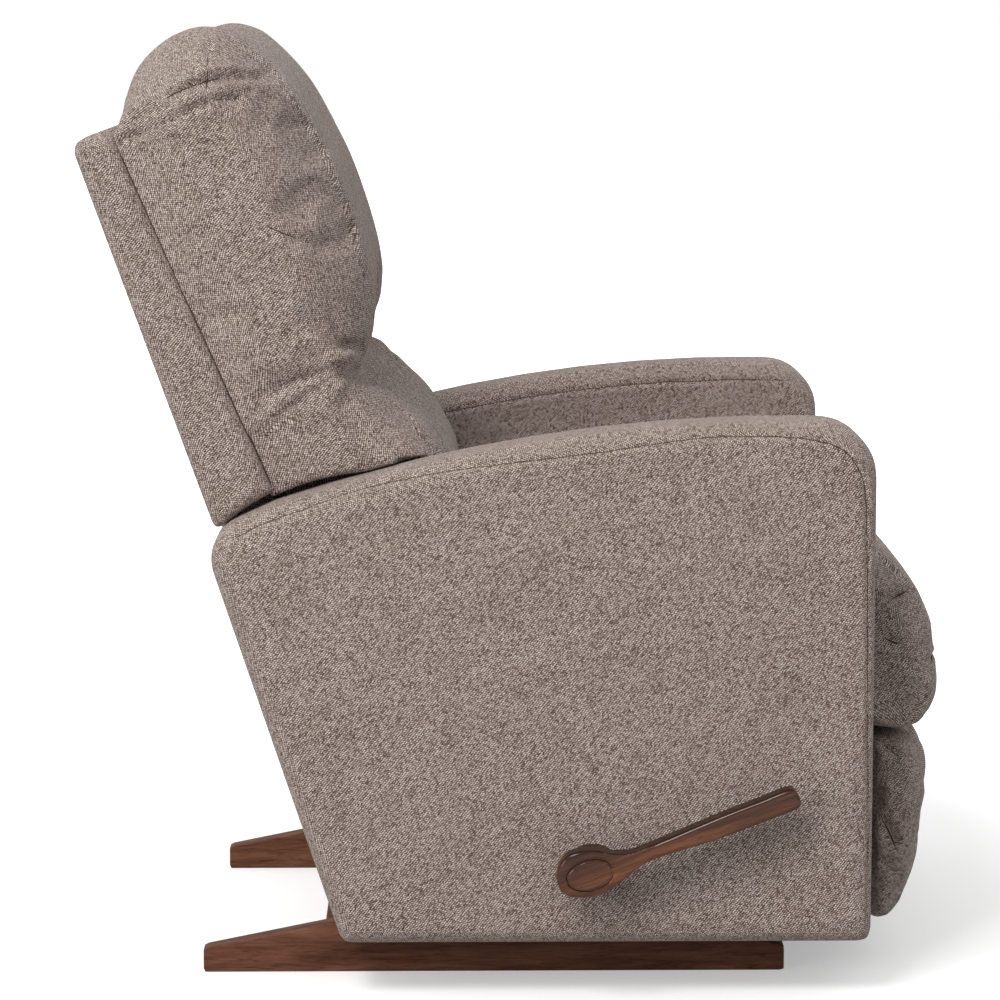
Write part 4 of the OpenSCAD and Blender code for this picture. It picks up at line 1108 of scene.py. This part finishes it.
def lever():
    """The pull lever: an oval hub on the arm and a tapered grip, shaped as one carved piece."""
    front = spline([on_plane(x, y, LEVER_FACE) for x, y in LEVER_EDGE], 2.5)
    out = outward(front)
    rings = [ring(LEVER_FACE + x, front - out * inset) for x, inset in rounding(4.2, 4.2)]
    rings += [ring(LEVER_FACE + LEVER_THICK - x, front - out * inset) for x, inset in reversed(rounding(5, 5))]
    hub = np.array(on_plane(590, 876, LEVER_FACE))
    rise = math.radians(17)
    major, minor = np.array((-math.cos(rise), math.sin(rise))), np.array((math.sin(rise), math.cos(rise)))

    def oval(a, b):
        turns = np.linspace(0, 2 * math.pi, 64, endpoint=False)
        return np.array([hub + major * a * math.cos(g) + minor * b * math.sin(g) for g in turns])

    drum = [ring(LEVER_FACE + 10, oval(29, 21)), ring(LEVER_FACE + 20, oval(30, 22)),
            ring(ARM_OUT + 1, oval(32, 24))]
    o = join("pull_lever", [loft("grip", rings), loft("drum", drum)])
    remesh(o, 1.1)
    bake(o, ("SMOOTH", dict(factor=0.5, iterations=3)))
    mark = oval(26, 16.5)
    line = np.array([tuple(place(LEVER_FACE, *p)) for p in [*mark, mark[0]]])
    groove(o, line, 1.6, 1.4)
    # Painted shade: a cord of near-black wood in the oval groove
    oval_shade = shade_cord("lever_oval_shade", [beside(bvh(o), line[::2])], "lever", 0.8, 0.5)
    oval_shade.data.materials[0] = GROOVE_SHADE_WOOD
    smooth(o)
    o.data.materials.append(LEVER_WOOD)
    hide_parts("lever_handle")
    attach(o, "lever")


lever()


# ------------ floor rails
def rail_outline(inset):
    low, front, rear, top = inset, -314 + inset, 352 - inset, 70 - inset
    return even(rounded([(front, low), (rear, low), (rear, 27 - inset * 0.8), (140, top), (-130, top),
                         (front, 29 - inset * 0.8)], [1.5, 1.5, 2.5, 60, 60, 2.5]), 260)


def rail(side):
    rings = [(x, rail_outline(inset)) for x, inset in rounding(1.4, 1.4, 30)]
    xs = [(-270 + x, o) for x, o in rings] + [(-242 - x, o) for x, o in reversed(rings)]
    o = loft("floor_rail_" + side, [ring(-SIGN[side] * x, out) for x, out in xs])
    smooth(o)
    bake(o, ("EDGE_SPLIT", dict(split_angle=math.radians(40))))
    o.data.materials.append(WALNUT)
    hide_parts("base_rail_" + side)
    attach(o, "base")


rail("right")
rail("left")


def from_node(name, node, shift=(0, 0, 0)):
    """A piece with the shape of a CAD solid, its triangles joined."""
    data = frame["nodes"][node].data
    o = mesh_object(name, [v.co + Vector(shift) for v in data.vertices], [tuple(p.vertices) for p in data.polygons])
    return bake(o, ("WELD", dict(merge_threshold=0.00005)))


# The rear cross member stands further forward than its CAD solid, hidden by the arm as in the photograph
bar = bake(from_node("rear_floor_member", "base_cross_rear", (0, -0.017, 0)),
           ("BEVEL", dict(width=0.0015, segments=2)))
bar.data.materials.append(WALNUT_X)
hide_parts("base_cross_rear")
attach(bar, "base")

# The springs lean as the chair rocks; here they keep the shapes of their CAD solids and follow no body
for side in SIGN:
    spring = from_node("rocker_coils_" + side, "rocker_springs_" + side)
    smooth(spring)
    spring.data.materials.append(SPRING)
    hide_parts("rocker_springs_" + side)
    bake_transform(spring)


# ------------ room
def floor():
    """White ground that takes the chair's shadow and fades into the background away from it."""
    s = Shader("white_floor")
    seen = s.seen()
    s.set(Base_Color=s.mix(seen, (0.4, 0.4, 0.4, 1), (0.8, 0.8, 0.8, 1)), Roughness=0.8, Specular_IOR_Level=0.1)
    away = s.add("VectorMath", {0: s.object_space()}, operation="LENGTH").outputs["Value"]
    level = s.add("MapRange", {0: away, 1: 0.8, 2: 2.2, 3: 0.36, 4: 0.9}).outputs[0]
    glow = s.add("Emission", {"Color": (1, 1, 1, 1), "Strength": s.math("MULTIPLY", seen, level)})
    both = s.add("AddShader", {0: s.bsdf.outputs[0], 1: glow.outputs[0]})
    s.feed(s.tree.nodes["Material Output"].inputs[0], both.outputs[0])
    o = mesh_object("studio_floor", [(-30, -30, 0), (30, -30, 0), (30, 30, 0), (-30, 30, 0)], [(0, 1, 2, 3)])
    o.data.materials.append(s.mat)


def sky():
    """White where the camera or a reflection sees it, and dimmer low down in what lights the chair."""
    scene.world = bpy.data.worlds.new("studio")
    scene.world.use_nodes = True
    s = Nodes(scene.world.node_tree)
    way = s.add("SeparateXYZ", {0: s.add("TexCoord").outputs["Generated"]}).outputs[2]
    height = s.add("MapRange", {0: way, 1: -0.1, 2: 0.9, 3: 0.42, 4: 0.86}).outputs[0]
    level = s.add("MapRange", {0: s.seen(), 3: height, 4: 1.0}).outputs[0]
    background = s.tree.nodes["Background"]
    background.inputs[0].default_value = (1, 1, 1, 1)
    s.feed(background.inputs[1], level)


def lamp(name, at, to, size, power):
    data = bpy.data.lights.new(name, "AREA")
    data.shape = "RECTANGLE"
    data.size, data.size_y = size
    data.energy = power
    o = bpy.data.objects.new(name, data)
    scene.collection.objects.link(o)
    o.location = at
    o.rotation_mode = "QUATERNION"
    o.rotation_quaternion = (Vector(to) - Vector(at)).to_track_quat("-Z", "Y")


floor()
sky()
lamp("key", (-4.0, 2.1, 4.9), (0, 0, 0.5), (2.0, 2.0), 214)
lamp("fill", (-3.9, 3.8, 1.7), (0, 0, 0.6), (2.2, 1.4), 76)

scene.view_settings.view_transform = "Standard"
